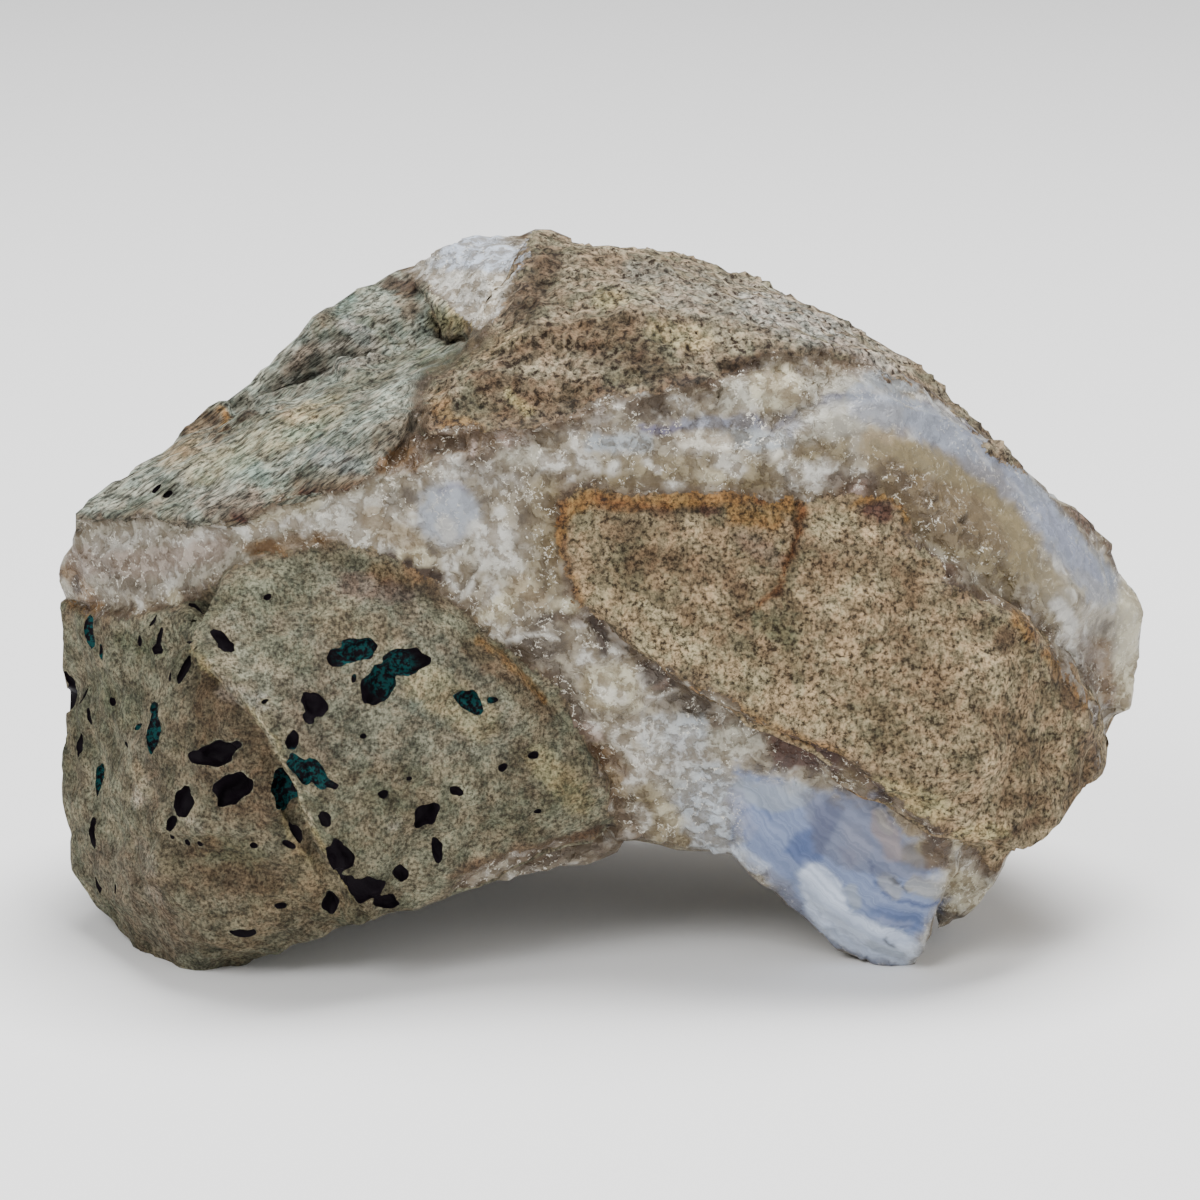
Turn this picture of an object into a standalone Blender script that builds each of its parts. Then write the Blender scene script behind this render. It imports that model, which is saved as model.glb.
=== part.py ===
"""Blue lace agate geode: broken blocks of volcanic rock, grown together by seams of agate into one stone.

Metres, +Z up. The stone rests on two small worn flats in the plane z = 0, with its length along X. The side
that shows the blue tongue of agate faces -Y. The origin is on the resting plane, under the stone's middle.

Each block of rock and each mass of agate is the convex hull of its own corners, as rock breaks along flat
faces. The hulls are joined, worn and roughened, and the gas bubbles of the old lava are cut into the blocks
at the left-hand end.
"""

import math
import random

import bmesh
import bpy
import numpy as np
from mathutils import Matrix, Vector, noise
from mathutils.bvhtree import BVHTree

MM = 0.001

# The eye from which the front of the stone is described looks this far down, and at this point, which it
# sees this high above the line where the stone rests. Every size from here on is in millimetres.
EYE_DISTANCE = 700.0
EYE_TILT = math.radians(15.0)
EYE_AIM = Vector((0.0, 0.0, 42.2))
AIM_UP = 47.8

# Edges finer than the wear are rounded off. Lumps are (size, height) pairs, and they change over from those
# of the rock to those of the agate across a strip this wide.
WEAR = 1.1
ROCK_LUMPS = [(17.0, 1.2), (7.0, 1.0), (3.2, 0.6)]
AGATE_LUMPS = [(12.0, 1.3), (4.5, 0.8)]
LUMP_CHANGE = 2.0
TRIANGLES = 7000

# Corners that the eye sees are (across, up, back): how far right of the middle and how far above the resting
# line they appear, and how far behind the middle plane they lie. Hidden corners are plain (x, y, z).
ROCK = {
    "bubbly_block": {
        "seen": [
            (-69.8, 47, -6), (-68.8, 16, -6), (-68.4, 12.5, -7), (-66.4, 8.8, -9), (-62.4, 4.3, -13),
            (-59.4, 2, -17), (-55.5, 0.4, -22), (-45, 0.4, -27), (-41, 1.4, -29), (-37, 3.6, -31),
            (-30, 6.6, -33), (-57, 12, -33), (-50, 4, -31), (-61, 10, -26), (-62, 22, -25),
            (-61, 36, -24), (-60, 46, -22), (-53, 46, -31), (-50, 40, -36), (-45, 30, -39),
            (-41, 20, -39.5), (-37, 12, -37.5),
        ],
        "hidden": [
            (-67, 12, 44), (-66, 18, 32), (-63, 17, 16), (-57, 10, -1), (-42, 10, -1), (-52, -23, -1),
            (-47, -22, -1), (-58, 25, 32), (-46, 32, 38), (-40, 31, 20), (-41, 20, 7), (-50, 29, 46),
        ],
    },
    "proud_block": {
        "seen": [
            (-53, 42, -37), (-51.5, 45.5, -34), (-49.5, 50, -32), (-46, 53.5, -30), (-38, 55, -29),
            (-30, 54.5, -30), (-25, 49, -33), (-19, 45, -34), (-13, 40, -34.5), (-5, 32.5, -33),
            (0, 25, -31), (3, 18.5, -27), (-14, 11.8, -31), (-20, 9.2, -32), (-26, 7.2, -33),
            (-32, 6.2, -35), (-46, 36, -41), (-42, 32, -42.5), (-39, 26, -42.5), (-37, 21, -42),
            (-34, 14, -40),
        ],
        "hidden": [
            (-45, 10, 48), (-20, 15, 43), (0, 10, 30), (-4, 2, 13), (-30, 12, 7), (-36, 22, 14),
        ],
    },
    "slab": {
        "seen": [
            (-68.2, 58.2, -13), (-66.8, 61.2, -9), (-60, 58.5, -20), (-52, 58, -27), (-45, 59.5, -30),
            (-37, 61.3, -32), (-30, 62, -31.5), (-24, 73, -24), (-62.6, 64, 0), (-59.8, 65.5, 6),
            (-55.5, 67.5, 12), (-49.5, 71.8, 16), (-28, 80, 9), (-21.5, 77.6, -16.5),
            (-15.5, 81.6, -8.5),
        ],
        "hidden": [
            (-64, 9, 50), (-57, 24, 50), (-46, 32, 54), (-24, 36, 61), (-20, 34, 68), (-10, 10, 66),
            (-30, -20, 55),
        ],
    },
    "ledge": {
        "seen": [
            (-48.6, 72.2, 15), (-44, 73, 13), (-28.5, 80.5, 9), (-48, 73.6, 14), (-43.3, 76.8, 12),
            (-36.6, 83.4, 12), (-36.4, 84.8, 15), (-33, 83, 10), (-29, 81.8, 9), (-33.6, 86.8, 20),
            (-30, 88.5, 22), (-26, 90.2, 24), (-21, 91.6, 24), (-20, 87, 14),
        ],
        "hidden": [
            (-48, 24, 60), (-45, 30, 57), (-36, 34, 66), (-24, 33, 74), (-20, 20, 60), (-40, 15, 55),
        ],
    },
    "ledge_foot": {
        "seen": [
            (-56, 66.5, 10), (-55, 69.2, 12), (-49.2, 73.8, 15.5), (-48, 71.5, 8), (-52, 68, 4),
            (-54, 66.5, 4),
        ],
        "hidden": [
            (-54, 24, 56), (-46, 27, 56), (-48, 10, 55),
        ],
    },
    "crown": {
        "seen": [
            (-23.5, 71.5, -26), (-22.5, 69, -29), (-14, 69.5, -31), (-6, 70.5, -32), (3, 72.5, -32),
            (10, 75, -31), (18, 77.5, -28.5), (25, 79.8, -25), (30, 81.5, -21), (36, 79.5, -17),
            (42, 75.5, -12), (-20, 78, -16), (-9.3, 93.8, 6), (-4, 95, 9), (2, 93.6, 10),
            (25, 87.1, 8), (30, 85.3, 7), (35, 82.6, 6), (43, 76.8, 3), (50, 70, 1), (54, 64.6, 0),
            (-8, 84, -21), (5, 85, -21.5),
        ],
        "hidden": [
            (-8, 27, 83), (12, 29, 81), (30, 25, 73), (45, 18, 62), (51, 8, 57), (-9, 37, 68),
            (2, 40, 62), (28, 37, 56), (40, 29, 54), (14, 37, 72),
        ],
    },
    "right_block": {
        "seen": [
            (-5, 60, -29.5), (-5, 54, -31), (0, 46.5, -34), (8, 39.8, -36), (20, 31.5, -37.5),
            (32, 27, -37.5), (38, 22.5, -37), (44, 18, -35), (52, 15.2, -31), (56.6, 16.6, -27),
            (60.8, 20.3, -21), (65.8, 24.8, -13), (67, 29, -8), (65.6, 33, -16), (62, 38, -22.5),
            (57, 42, -27), (53, 46, -29.5), (47, 51, -31), (41, 57, -30.5), (38, 58.5, -30.5),
            (26, 60.5, -31), (12, 62, -31), (0, 61, -30), (33, 44, -37), (15, 52, -34.5),
            (50, 28, -36),
        ],
        "hidden": [
            (65, 2, 30), (60, 20, 27), (51, 29, 21), (36, 34, 23), (22, 33, 17), (24, 20, 11),
            (50, 14, 15), (30, 20, 50), (60, 14, 40), (44, 32, 38), (24, 38, 42), (18, 39, 30),
        ],
    },
    "back_block": {
        "seen": [],
        "hidden": [
            (-37, 36, 26), (-30, 34, 15), (-12, 37, 12), (3, 38, 16), (10, 39, 28), (11, 40, 42),
            (-3, 40, 57), (-24, 38.8, 55), (-38, 36, 48), (-16, 43.2, 38), (-8, 20, 9), (-32, 14, 13),
            (5, 10, 50),
        ],
    },
}
AGATE = {
    "seams": {
        "seen": [
            (-69.8, 48.5, -6), (-69.5, 52, -8), (-67.8, 57.5, -12), (-60, 57.5, -19), (-60, 47, -20.5),
            (-52, 57.3, -26), (-50, 50, -28), (-45, 58.5, -29), (-35, 60, -31), (-14, 68, -32),
            (-18, 46, -33), (-10, 42, -33), (-5, 66, -32.5), (10, 66, -33), (22, 68, -32),
            (30, 72, -29), (38, 74, -24), (45, 72, -18), (50, 54, -28), (57, 57, -18), (60, 48, -22),
            (64, 50, -14), (66, 40, -12), (53.4, 64.4, -4), (63.3, 59, -5), (66.8, 55, -5),
            (70.4, 48.5, -5), (71, 46.5, -6), (70.2, 44, -7), (68.7, 36, -6), (67.7, 32, -6),
            (18, 30, -33), (10, 26, -31), (1, 17.6, -26), (8, 15.9, -26), (15, 14.2, -25),
            (36, 24, -33),
        ],
        "hidden": [
            (67, 8, 38), (61, 19, 45), (53, 27, 47), (42, 31, 52), (14, 39, 60), (-10, 38.5, 64),
            (-20, 36, 64), (-40, 34, 52), (-56, 24, 46), (-40, 34, 26), (-37, 28, 13), (14, 39.5, 34),
            (12, 36, 18), (18, 24, 11), (-6, 8, 10), (-20, 22, 10), (-64, 14, 48), (-14, 32, 71),
            (64, 17, 34),
        ],
    },
    "upper_seam": {
        "seen": [
            (-24.5, 62, -31.5), (-26, 66, -28), (-23.5, 71.5, -25), (-20.5, 75.5, -19.5),
            (-14, 69.5, -30.8), (3, 72, -31.5), (18, 76.8, -29), (26, 79.5, -24.5), (32, 80.3, -19.5),
            (38, 78.6, -15), (44, 74.6, -9.5), (50, 69, -7), (56, 62.5, -7), (46, 69, -20),
            (38, 71, -26), (22, 66, -32.3), (0, 62, -32.3), (52, 62, -19),
        ],
        "hidden": [
            (-16, 10, 60), (0, 20, 60), (35, 10, 50), (50, 5, 50),
        ],
    },
    "under_crust": {
        "seen": [
            (-24, 8.4, -26), (-18, 10.2, -26), (-8, 12.1, -25), (-2, 13.4, -24), (2, 15.2, -23),
            (3.5, 18, -25),
        ],
        "hidden": [
            (-22, -4, 14), (0, -4, 16), (-24, -10, 20), (3, -10, 22),
        ],
    },
    "peaks": {
        "seen": [
            (-25.5, 90.4, 23), (-19.8, 93, 20), (-16.4, 94.8, 22), (-7.5, 96.2, 24), (-3.5, 95, 24),
            (-15.5, 82, -7), (-11, 86, -6), (-9.5, 92.2, 5),
        ],
        "hidden": [
            (-24, 27, 76), (-2, 29, 80), (-18, 35, 68), (-8, 36, 70), (-12, 0, 60), (0, 10, 70),
        ],
    },
    "blue_tongue": {
        "seen": [
            (16, 16, -26), (24.2, 8, -22), (27.6, 4.4, -21.5), (30.3, 2.4, -21.5), (34, 0.6, -22.5),
            (38, -0.3, -24), (41.6, 0.8, -24), (43.3, 4.8, -25), (45, 10, -26), (47, 16, -28),
            (46, 19, -30), (36, 25, -33), (27, 28, -33), (18, 28, -32), (31, 7, -27), (38, 3, -27.5),
            (42, 3, -27),
        ],
        "hidden": [
            (34, -14, -1), (40, -22, -1), (41, -5, -1), (36, 6, -1), (25, 8, 12), (20, 5, 20),
            (44, 8, 12), (44, 0, 8),
        ],
    },
    "tongue_lump": {
        "seen": [
            (43.5, 4.6, -16), (46, 5.4, -15), (48.9, 7.2, -15), (50.9, 10.6, -15), (54, 17, -18),
            (47, 17, -24), (45, 11, -22),
        ],
        "hidden": [
            (44, 2, 6), (48, 4, 10), (52, 6, 18), (46, 10, 20),
        ],
    },
}

# Gas bubbles as the eye sees them: (across, up, length, width, slant in degrees). More of them, of no
# special order, are in the end that the eye can't see, around an upright line inside it.
BUBBLES = [
    (-66, 42.4, 5, 1.9, -50), (-65.2, 24.5, 3.2, 1.3, 85), (-58.3, 31.4, 5.2, 2.3, 80),
    (-57.2, 42.6, 3, 0.9, 70), (-54.2, 39, 3.6, 1, 72), (-49.3, 48.6, 2.4, 1.1, 60),
    (-49.4, 42.6, 2.8, 1.2, -55), (-51.4, 27.6, 6, 2.4, 12), (-47.8, 23.2, 4.3, 3.2, 35),
    (-54.5, 21.2, 3.8, 2.2, 70), (-40.8, 23.3, 4.4, 2.8, 78), (-37.2, 25.2, 4.2, 2.6, -50),
    (-32.2, 41.2, 5.6, 2.4, 22), (-28.6, 37.2, 4, 2.6, 65), (-24.6, 39.8, 4, 2.4, 12),
    (-37.1, 34.2, 2.9, 1.8, -50), (-16.7, 34.5, 3.2, 1.8, -40), (-22.5, 19.8, 2.8, 2.2, -30),
    (-21.2, 15.6, 2.3, 1.3, 80), (-33.5, 14.4, 3.8, 2.5, -70), (-26, 12.5, 2, 1.2, -60),
    (-31.6, 10.6, 5, 2.6, -15), (-28, 9.2, 4, 2.4, -25), (-35, 8.5, 2.9, 1.6, 80),
    (-39.3, 17.8, 2.8, 1.1, -60), (-46.2, 4.4, 2.7, 1.5, -5), (-66.2, 17.4, 3, 1.5, -75),
    (-68.2, 29.5, 3.2, 1.6, 85),
]
BUBBLE_DEPTH = 0.75
BUBBLE_LUMPS = 0.25
FACETED = 1.15
END_BUBBLES = 16
END_LINE = Vector((-50.0, 0.0, 0.0))
END_HEIGHTS = (12.0, 42.0)
END_SIDES = (100.0, 200.0)
END_LENGTHS = (2.0, 5.0)


def eye_ray(across, up):
    """The eye's place, and the direction in which it sees a point that far across and up."""
    ahead = Vector((0, math.cos(EYE_TILT), -math.sin(EYE_TILT)))
    above = Vector((0, math.sin(EYE_TILT), math.cos(EYE_TILT)))
    place = EYE_AIM - ahead * EYE_DISTANCE
    return place, ahead * EYE_DISTANCE + Vector((1, 0, 0)) * across + above * (up - AIM_UP)


def seen_corner(across, up, back):
    """A corner where the eye's ray meets the plane that lies that far back."""
    place, direction = eye_ray(across, up)
    return place + direction * ((back - place.y) / direction.y)


def corners_of(block):
    return [seen_corner(*corner) for corner in block["seen"]] + [Vector(corner) for corner in block["hidden"]]


def hull(corners):
    """The convex hull of some corners, with its faces pointing out."""
    bm = bmesh.new()
    for corner in corners:
        bm.verts.new(corner)
    bmesh.ops.convex_hull(bm, input=bm.verts)
    bmesh.ops.recalc_face_normals(bm, faces=bm.faces)
    return bm


def mesh_object(name, bm):
    """An object in metres, from a mesh in millimetres."""
    bmesh.ops.scale(bm, vec=(MM, MM, MM), verts=bm.verts)
    mesh = bpy.data.meshes.new(name)
    bm.to_mesh(mesh)
    bm.free()
    obj = bpy.data.objects.new(name, mesh)
    bpy.context.scene.collection.objects.link(obj)
    return obj


def applied(obj):
    """Gives an object the mesh that its modifiers make, and clears them."""
    graph = bpy.context.evaluated_depsgraph_get()
    mesh = bpy.data.meshes.new_from_object(obj.evaluated_get(graph))
    obj.modifiers.clear()
    obj.data = mesh
    return obj


def joined(objects):
    """One closed body from hulls that overlap."""
    first, *others = objects
    for other in others:
        union = first.modifiers.new("union", "BOOLEAN")
        union.operation = "UNION"
        union.object = other
    applied(first)
    for other in others:
        bpy.data.objects.remove(other)
    return first


def worn(obj):
    """Rounds the edges: the body is remade from small cells, which smooth out anything finer."""
    remesh = obj.modifiers.new("worn", "REMESH")
    remesh.mode = "VOXEL"
    remesh.voxel_size = WEAR * MM
    smooth = obj.modifiers.new("smoothed", "SMOOTH")
    smooth.factor = 0.5
    smooth.iterations = 2
    return applied(obj)


def read(vertices, what):
    """The vertices' places or normals, one row each."""
    values = np.empty(len(vertices) * 3)
    vertices.foreach_get(what, values)
    return values.reshape(-1, 3)


def depth_outside(points, blocks):
    """How far each point lies outside the nearest of some blocks. It is negative inside."""
    nearest = np.full(len(points), np.inf)
    for block in blocks.values():
        bm = hull(corners_of(block))
        normals = np.array([face.normal for face in bm.faces])
        offsets = np.array([face.normal.dot(face.verts[0].co) for face in bm.faces])
        bm.free()
        nearest = np.minimum(nearest, (points @ normals.T - offsets).max(axis=1))
    return nearest


def lumps(points, octaves):
    """The height of the lumps at each point."""
    return np.array([
        sum(height * noise.noise(Vector(point) / size) for size, height in octaves) for point in points
    ])


def roughened(obj):
    """Raises lumps, finer on the rock than on the agate."""
    mesh = obj.data
    points = read(mesh.vertices, "co") / MM
    normals = read(mesh.vertices, "normal")
    into_rock = depth_outside(points, AGATE) - depth_outside(points, ROCK)
    rocky = np.clip(0.5 + into_rock / LUMP_CHANGE, 0, 1)
    heights = rocky * lumps(points, ROCK_LUMPS) + (1 - rocky) * lumps(points, AGATE_LUMPS)
    points += normals * heights[:, None]
    mesh.vertices.foreach_set("co", (points * MM).ravel())
    mesh.update()
    return obj


def simplified(obj):
    """Keeps the triangles that the shape needs, the most where it bends."""
    triangles = sum(len(face.vertices) - 2 for face in obj.data.polygons)
    decimate = obj.modifiers.new("simplified", "DECIMATE")
    decimate.ratio = TRIANGLES / triangles
    return applied(obj)


def add_bubble(bm, place, outward, along, length, width):
    """Adds a lumpy hollow to the cutter, centred on the surface."""
    side = outward.cross(along).normalized()
    along = side.cross(outward).normalized()
    axes = Matrix((along * length / 2, side * width / 2, outward * width * BUBBLE_DEPTH)).transposed()
    made = bmesh.ops.create_icosphere(bm, subdivisions=1, radius=FACETED)
    for vertex in made["verts"]:
        stretch = 1 + BUBBLE_LUMPS * noise.noise(vertex.co * 1.5 + place)
        vertex.co = place + axes @ vertex.co * stretch


def bubble_cutter(stone):
    """All the gas bubbles: the ones that the eye sees, then the ones in the far end."""
    tree = BVHTree.FromPolygons(
        [vertex.co / MM for vertex in stone.data.vertices], [face.vertices for face in stone.data.polygons]
    )
    cutter = bmesh.new()
    for across, up, length, width, slant in BUBBLES:
        place, outward, _, _ = tree.ray_cast(*eye_ray(across, up))
        slant = math.radians(slant)
        add_bubble(cutter, place, outward, Vector((math.cos(slant), 0, math.sin(slant))), length, width)
    chance = random.Random(7)
    for _ in range(END_BUBBLES):
        inside = END_LINE + Vector((0, 0, chance.uniform(*END_HEIGHTS)))
        side = math.radians(chance.uniform(*END_SIDES))
        outwards = Vector((math.cos(side), math.sin(side), chance.uniform(-0.4, 0.2)))
        place, outward, _, _ = tree.ray_cast(inside + outwards * 100, -outwards)
        along = Vector((chance.uniform(-1, 1), chance.uniform(-1, 1), chance.uniform(-1, 1)))
        length = chance.uniform(*END_LENGTHS)
        add_bubble(cutter, place, outward, along, length, length * chance.uniform(0.45, 0.8))
    return mesh_object("bubble_cutter", cutter)


def cut(obj, cutter):
    """Takes a cutter's shape out of an object."""
    cutter.hide_render = True
    cutter.display_type = "WIRE"
    difference = obj.modifiers.new("cut", "BOOLEAN")
    difference.operation = "DIFFERENCE"
    difference.use_self = True
    difference.object = cutter
    applied(obj)
    bpy.data.objects.remove(cutter)
    return obj


def rested(obj):
    """Cuts the flats on which the stone rests, in the plane z = 0."""
    bm = bmesh.new()
    bm.from_mesh(obj.data)
    everything = bm.verts[:] + bm.edges[:] + bm.faces[:]
    made = bmesh.ops.bisect_plane(bm, geom=everything, plane_no=(0, 0, 1), clear_inner=True, dist=1e-7)
    rim = [item for item in made["geom_cut"] if isinstance(item, bmesh.types.BMEdge)]
    bmesh.ops.edgeloop_fill(bm, edges=rim)
    bmesh.ops.triangulate(bm, faces=bm.faces)
    bmesh.ops.recalc_face_normals(bm, faces=bm.faces)
    bm.to_mesh(obj.data)
    bm.free()
    return obj


def stone_material():
    material = bpy.data.materials.new("stone")
    material.use_nodes = True
    shader = material.node_tree.nodes["Principled BSDF"]
    shader.inputs["Base Color"].default_value = (0.30, 0.27, 0.20, 1.0)
    shader.inputs["Roughness"].default_value = 0.75
    shader.inputs["Metallic"].default_value = 0.0
    return material


def main():
    for old in list(bpy.data.objects):
        bpy.data.objects.remove(old)
    hulls = [mesh_object(name, hull(corners_of(block))) for name, block in {**AGATE, **ROCK}.items()]
    stone = simplified(roughened(worn(joined(hulls))))
    cut(stone, bubble_cutter(stone))
    rested(stone)
    stone.name = "geode"
    stone.data.name = "geode"
    stone.data.materials.clear()
    stone.data.materials.append(stone_material())
    stone.data.shade_smooth()
    stone.data.set_sharp_from_angle(angle=math.radians(35))


main()
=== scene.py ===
# %% [markdown]
# # A blue lace agate geode
#
# The stone is a broken piece of old lava. Gas left bubbles in it, it was shattered, and water that carried
# silica healed the cracks with agate: milky and grey for the most part, and pale blue where a tongue of it
# sticks out at the lower right. It is solid, so this script dresses one body.
#
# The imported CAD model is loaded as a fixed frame. Everything made here stays in that frame, in metres, with
# +Z up, and inside the box of the CAD model. The noise gets a seed, because without one its vectors would
# come out differently in each run.

# %% The frame
import math
import random

import bpy
import numpy as np
from mathutils import Matrix, Vector, noise
from mathutils.bvhtree import BVHTree


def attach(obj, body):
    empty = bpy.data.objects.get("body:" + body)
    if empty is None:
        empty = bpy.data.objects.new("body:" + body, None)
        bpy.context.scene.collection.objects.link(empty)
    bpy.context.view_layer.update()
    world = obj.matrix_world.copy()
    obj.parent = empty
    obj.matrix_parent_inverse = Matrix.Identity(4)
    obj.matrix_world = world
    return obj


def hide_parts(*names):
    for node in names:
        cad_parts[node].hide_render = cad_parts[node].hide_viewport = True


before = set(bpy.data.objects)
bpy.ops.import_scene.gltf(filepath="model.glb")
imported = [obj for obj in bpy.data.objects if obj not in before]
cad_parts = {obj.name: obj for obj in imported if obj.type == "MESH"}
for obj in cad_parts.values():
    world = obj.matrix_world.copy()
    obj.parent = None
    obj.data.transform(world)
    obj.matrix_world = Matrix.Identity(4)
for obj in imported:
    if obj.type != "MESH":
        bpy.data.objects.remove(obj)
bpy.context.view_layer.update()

MM = 0.001
NOISE_SEED = 5
noise.seed_set(NOISE_SEED)

# %% [markdown]
# The front of a rough stone has no plain views to draw it in, so its forms are placed by how they look from
# one fixed eye in front of it. That eye is 0.7 m away and looks 15 degrees down. A place on the front is
# (across, up): how far right of the middle, and how far above the resting line, the eye sees it. These two
# helpers go from such a place to a line of sight, and from points on the stone back to such places. Sizes
# from here on are in millimetres.

# %% The eye
EYE_DISTANCE = 700.0
EYE_TILT = math.radians(15.0)
EYE_AIM = Vector((0.0, 0.0, 42.2))
AIM_UP = 47.8
AHEAD = Vector((0, math.cos(EYE_TILT), -math.sin(EYE_TILT)))
ABOVE = Vector((0, math.sin(EYE_TILT), math.cos(EYE_TILT)))
EYE = EYE_AIM - AHEAD * EYE_DISTANCE


def eye_ray(across, up):
    """The direction in which the eye sees a point that far across and up."""
    return AHEAD * EYE_DISTANCE + Vector((1, 0, 0)) * across + ABOVE * (up - AIM_UP)


def seen_corner(across, up, back):
    """The point where the eye's ray meets the plane that lies that far back."""
    direction = eye_ray(across, up)
    return EYE + direction * ((back - EYE.y) / direction.y)


def as_seen(points):
    """How far across and up the eye sees each point, one row each."""
    offsets = points - np.array(EYE)
    scale = EYE_DISTANCE / (offsets @ np.array(AHEAD))
    return np.column_stack((offsets[:, 0] * scale, offsets @ np.array(ABOVE) * scale + AIM_UP))


print("the eye is at", [round(part) for part in EYE], "mm")

# %% [markdown]
# Rock breaks along flat faces, so each block is the convex hull of its corners. The agate that fills the
# gaps is made of hulls too. The corners are those of the CAD model, so the two agree. Corners that the eye
# sees are (across, up, back), and hidden ones are plain (x, y, z).

# %% The blocks of rock and the masses of agate
ROCK = {
    "bubbly_block": {
        "seen": [
            (-69.8, 47, -6), (-68.8, 16, -6), (-68.4, 12.5, -7), (-66.4, 8.8, -9), (-62.4, 4.3, -13),
            (-59.4, 2, -17), (-55.5, 0.4, -22), (-45, 0.4, -27), (-41, 1.4, -29), (-37, 3.6, -31),
            (-30, 6.6, -33), (-57, 12, -33), (-50, 4, -31), (-61, 10, -26), (-62, 22, -25),
            (-61, 36, -24), (-60, 46, -22), (-53, 46, -31), (-50, 40, -36), (-45, 30, -39),
            (-41, 20, -39.5), (-37, 12, -37.5),
        ],
        "hidden": [
            (-67, 12, 44), (-66, 18, 32), (-63, 17, 16), (-57, 10, -1), (-42, 10, -1), (-52, -23, -1),
            (-47, -22, -1), (-58, 25, 32), (-46, 32, 38), (-40, 31, 20), (-41, 20, 7), (-50, 29, 46),
        ],
    },
    "proud_block": {
        "seen": [
            (-53, 42, -37), (-51.5, 45.5, -34), (-49.5, 50, -32), (-46, 53.5, -30), (-38, 55, -29),
            (-30, 54.5, -30), (-25, 49, -33), (-19, 45, -34), (-13, 40, -34.5), (-5, 32.5, -33),
            (0, 25, -31), (3, 18.5, -27), (-14, 11.8, -31), (-20, 9.2, -32), (-26, 7.2, -33),
            (-32, 6.2, -35), (-46, 36, -41), (-42, 32, -42.5), (-39, 26, -42.5), (-37, 21, -42),
            (-34, 14, -40),
        ],
        "hidden": [
            (-45, 10, 48), (-20, 15, 43), (0, 10, 30), (-4, 2, 13), (-30, 12, 7), (-36, 22, 14),
        ],
    },
    "slab": {
        "seen": [
            (-68.2, 58.2, -13), (-66.8, 61.2, -9), (-60, 58.5, -20), (-52, 58, -27), (-45, 59.5, -30),
            (-37, 61.3, -32), (-30, 62, -31.5), (-24, 73, -24), (-62.6, 64, 0), (-59.8, 65.5, 6),
            (-55.5, 67.5, 12), (-49.5, 71.8, 16), (-28, 80, 9), (-21.5, 77.6, -16.5),
            (-15.5, 81.6, -8.5),
        ],
        "hidden": [
            (-64, 9, 50), (-57, 24, 50), (-46, 32, 54), (-24, 36, 61), (-20, 34, 68), (-10, 10, 66),
            (-30, -20, 55),
        ],
    },
    "ledge": {
        "seen": [
            (-48.6, 72.2, 15), (-44, 73, 13), (-28.5, 80.5, 9), (-48, 73.6, 14), (-43.3, 76.8, 12),
            (-36.6, 83.4, 12), (-36.4, 84.8, 15), (-33, 83, 10), (-29, 81.8, 9), (-33.6, 86.8, 20),
            (-30, 88.5, 22), (-26, 90.2, 24), (-21, 91.6, 24), (-20, 87, 14),
        ],
        "hidden": [
            (-48, 24, 60), (-45, 30, 57), (-36, 34, 66), (-24, 33, 74), (-20, 20, 60), (-40, 15, 55),
        ],
    },
    "ledge_foot": {
        "seen": [
            (-56, 66.5, 10), (-55, 69.2, 12), (-49.2, 73.8, 15.5), (-48, 71.5, 8), (-52, 68, 4),
            (-54, 66.5, 4),
        ],
        "hidden": [
            (-54, 24, 56), (-46, 27, 56), (-48, 10, 55),
        ],
    },
    "crown": {
        "seen": [
            (-23.5, 71.5, -26), (-22.5, 69, -29), (-14, 69.5, -31), (-6, 70.5, -32), (3, 72.5, -32),
            (10, 75, -31), (18, 77.5, -28.5), (25, 79.8, -25), (30, 81.5, -21), (36, 79.5, -17),
            (42, 75.5, -12), (-20, 78, -16), (-9.3, 93.8, 6), (-4, 95, 9), (2, 93.6, 10),
            (25, 87.1, 8), (30, 85.3, 7), (35, 82.6, 6), (43, 76.8, 3), (50, 70, 1), (54, 64.6, 0),
            (-8, 84, -21), (5, 85, -21.5),
        ],
        "hidden": [
            (-8, 27, 83), (12, 29, 81), (30, 25, 73), (45, 18, 62), (51, 8, 57), (-9, 37, 68),
            (2, 40, 62), (28, 37, 56), (40, 29, 54), (14, 37, 72),
        ],
    },
    "right_block": {
        "seen": [
            (-5, 60, -29.5), (-5, 54, -31), (0, 46.5, -34), (8, 39.8, -36), (20, 31.5, -37.5),
            (32, 27, -37.5), (38, 22.5, -37), (44, 18, -35), (52, 15.2, -31), (56.6, 16.6, -27),
            (60.8, 20.3, -21), (65.8, 24.8, -13), (67, 29, -8), (65.6, 33, -16), (62, 38, -22.5),
            (57, 42, -27), (53, 46, -29.5), (47, 51, -31), (41, 57, -30.5), (38, 58.5, -30.5),
            (26, 60.5, -31), (12, 62, -31), (0, 61, -30), (33, 44, -37), (15, 52, -34.5),
            (50, 28, -36),
        ],
        "hidden": [
            (65, 2, 30), (60, 20, 27), (51, 29, 21), (36, 34, 23), (22, 33, 17), (24, 20, 11),
            (50, 14, 15), (30, 20, 50), (60, 14, 40), (44, 32, 38), (24, 38, 42), (18, 39, 30),
        ],
    },
    "back_block": {
        "seen": [],
        "hidden": [
            (-37, 36, 26), (-30, 34, 15), (-12, 37, 12), (3, 38, 16), (10, 39, 28), (11, 40, 42),
            (-3, 40, 57), (-24, 38.8, 55), (-38, 36, 48), (-16, 43.2, 38), (-8, 20, 9), (-32, 14, 13),
            (5, 10, 50),
        ],
    },
}
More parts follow.
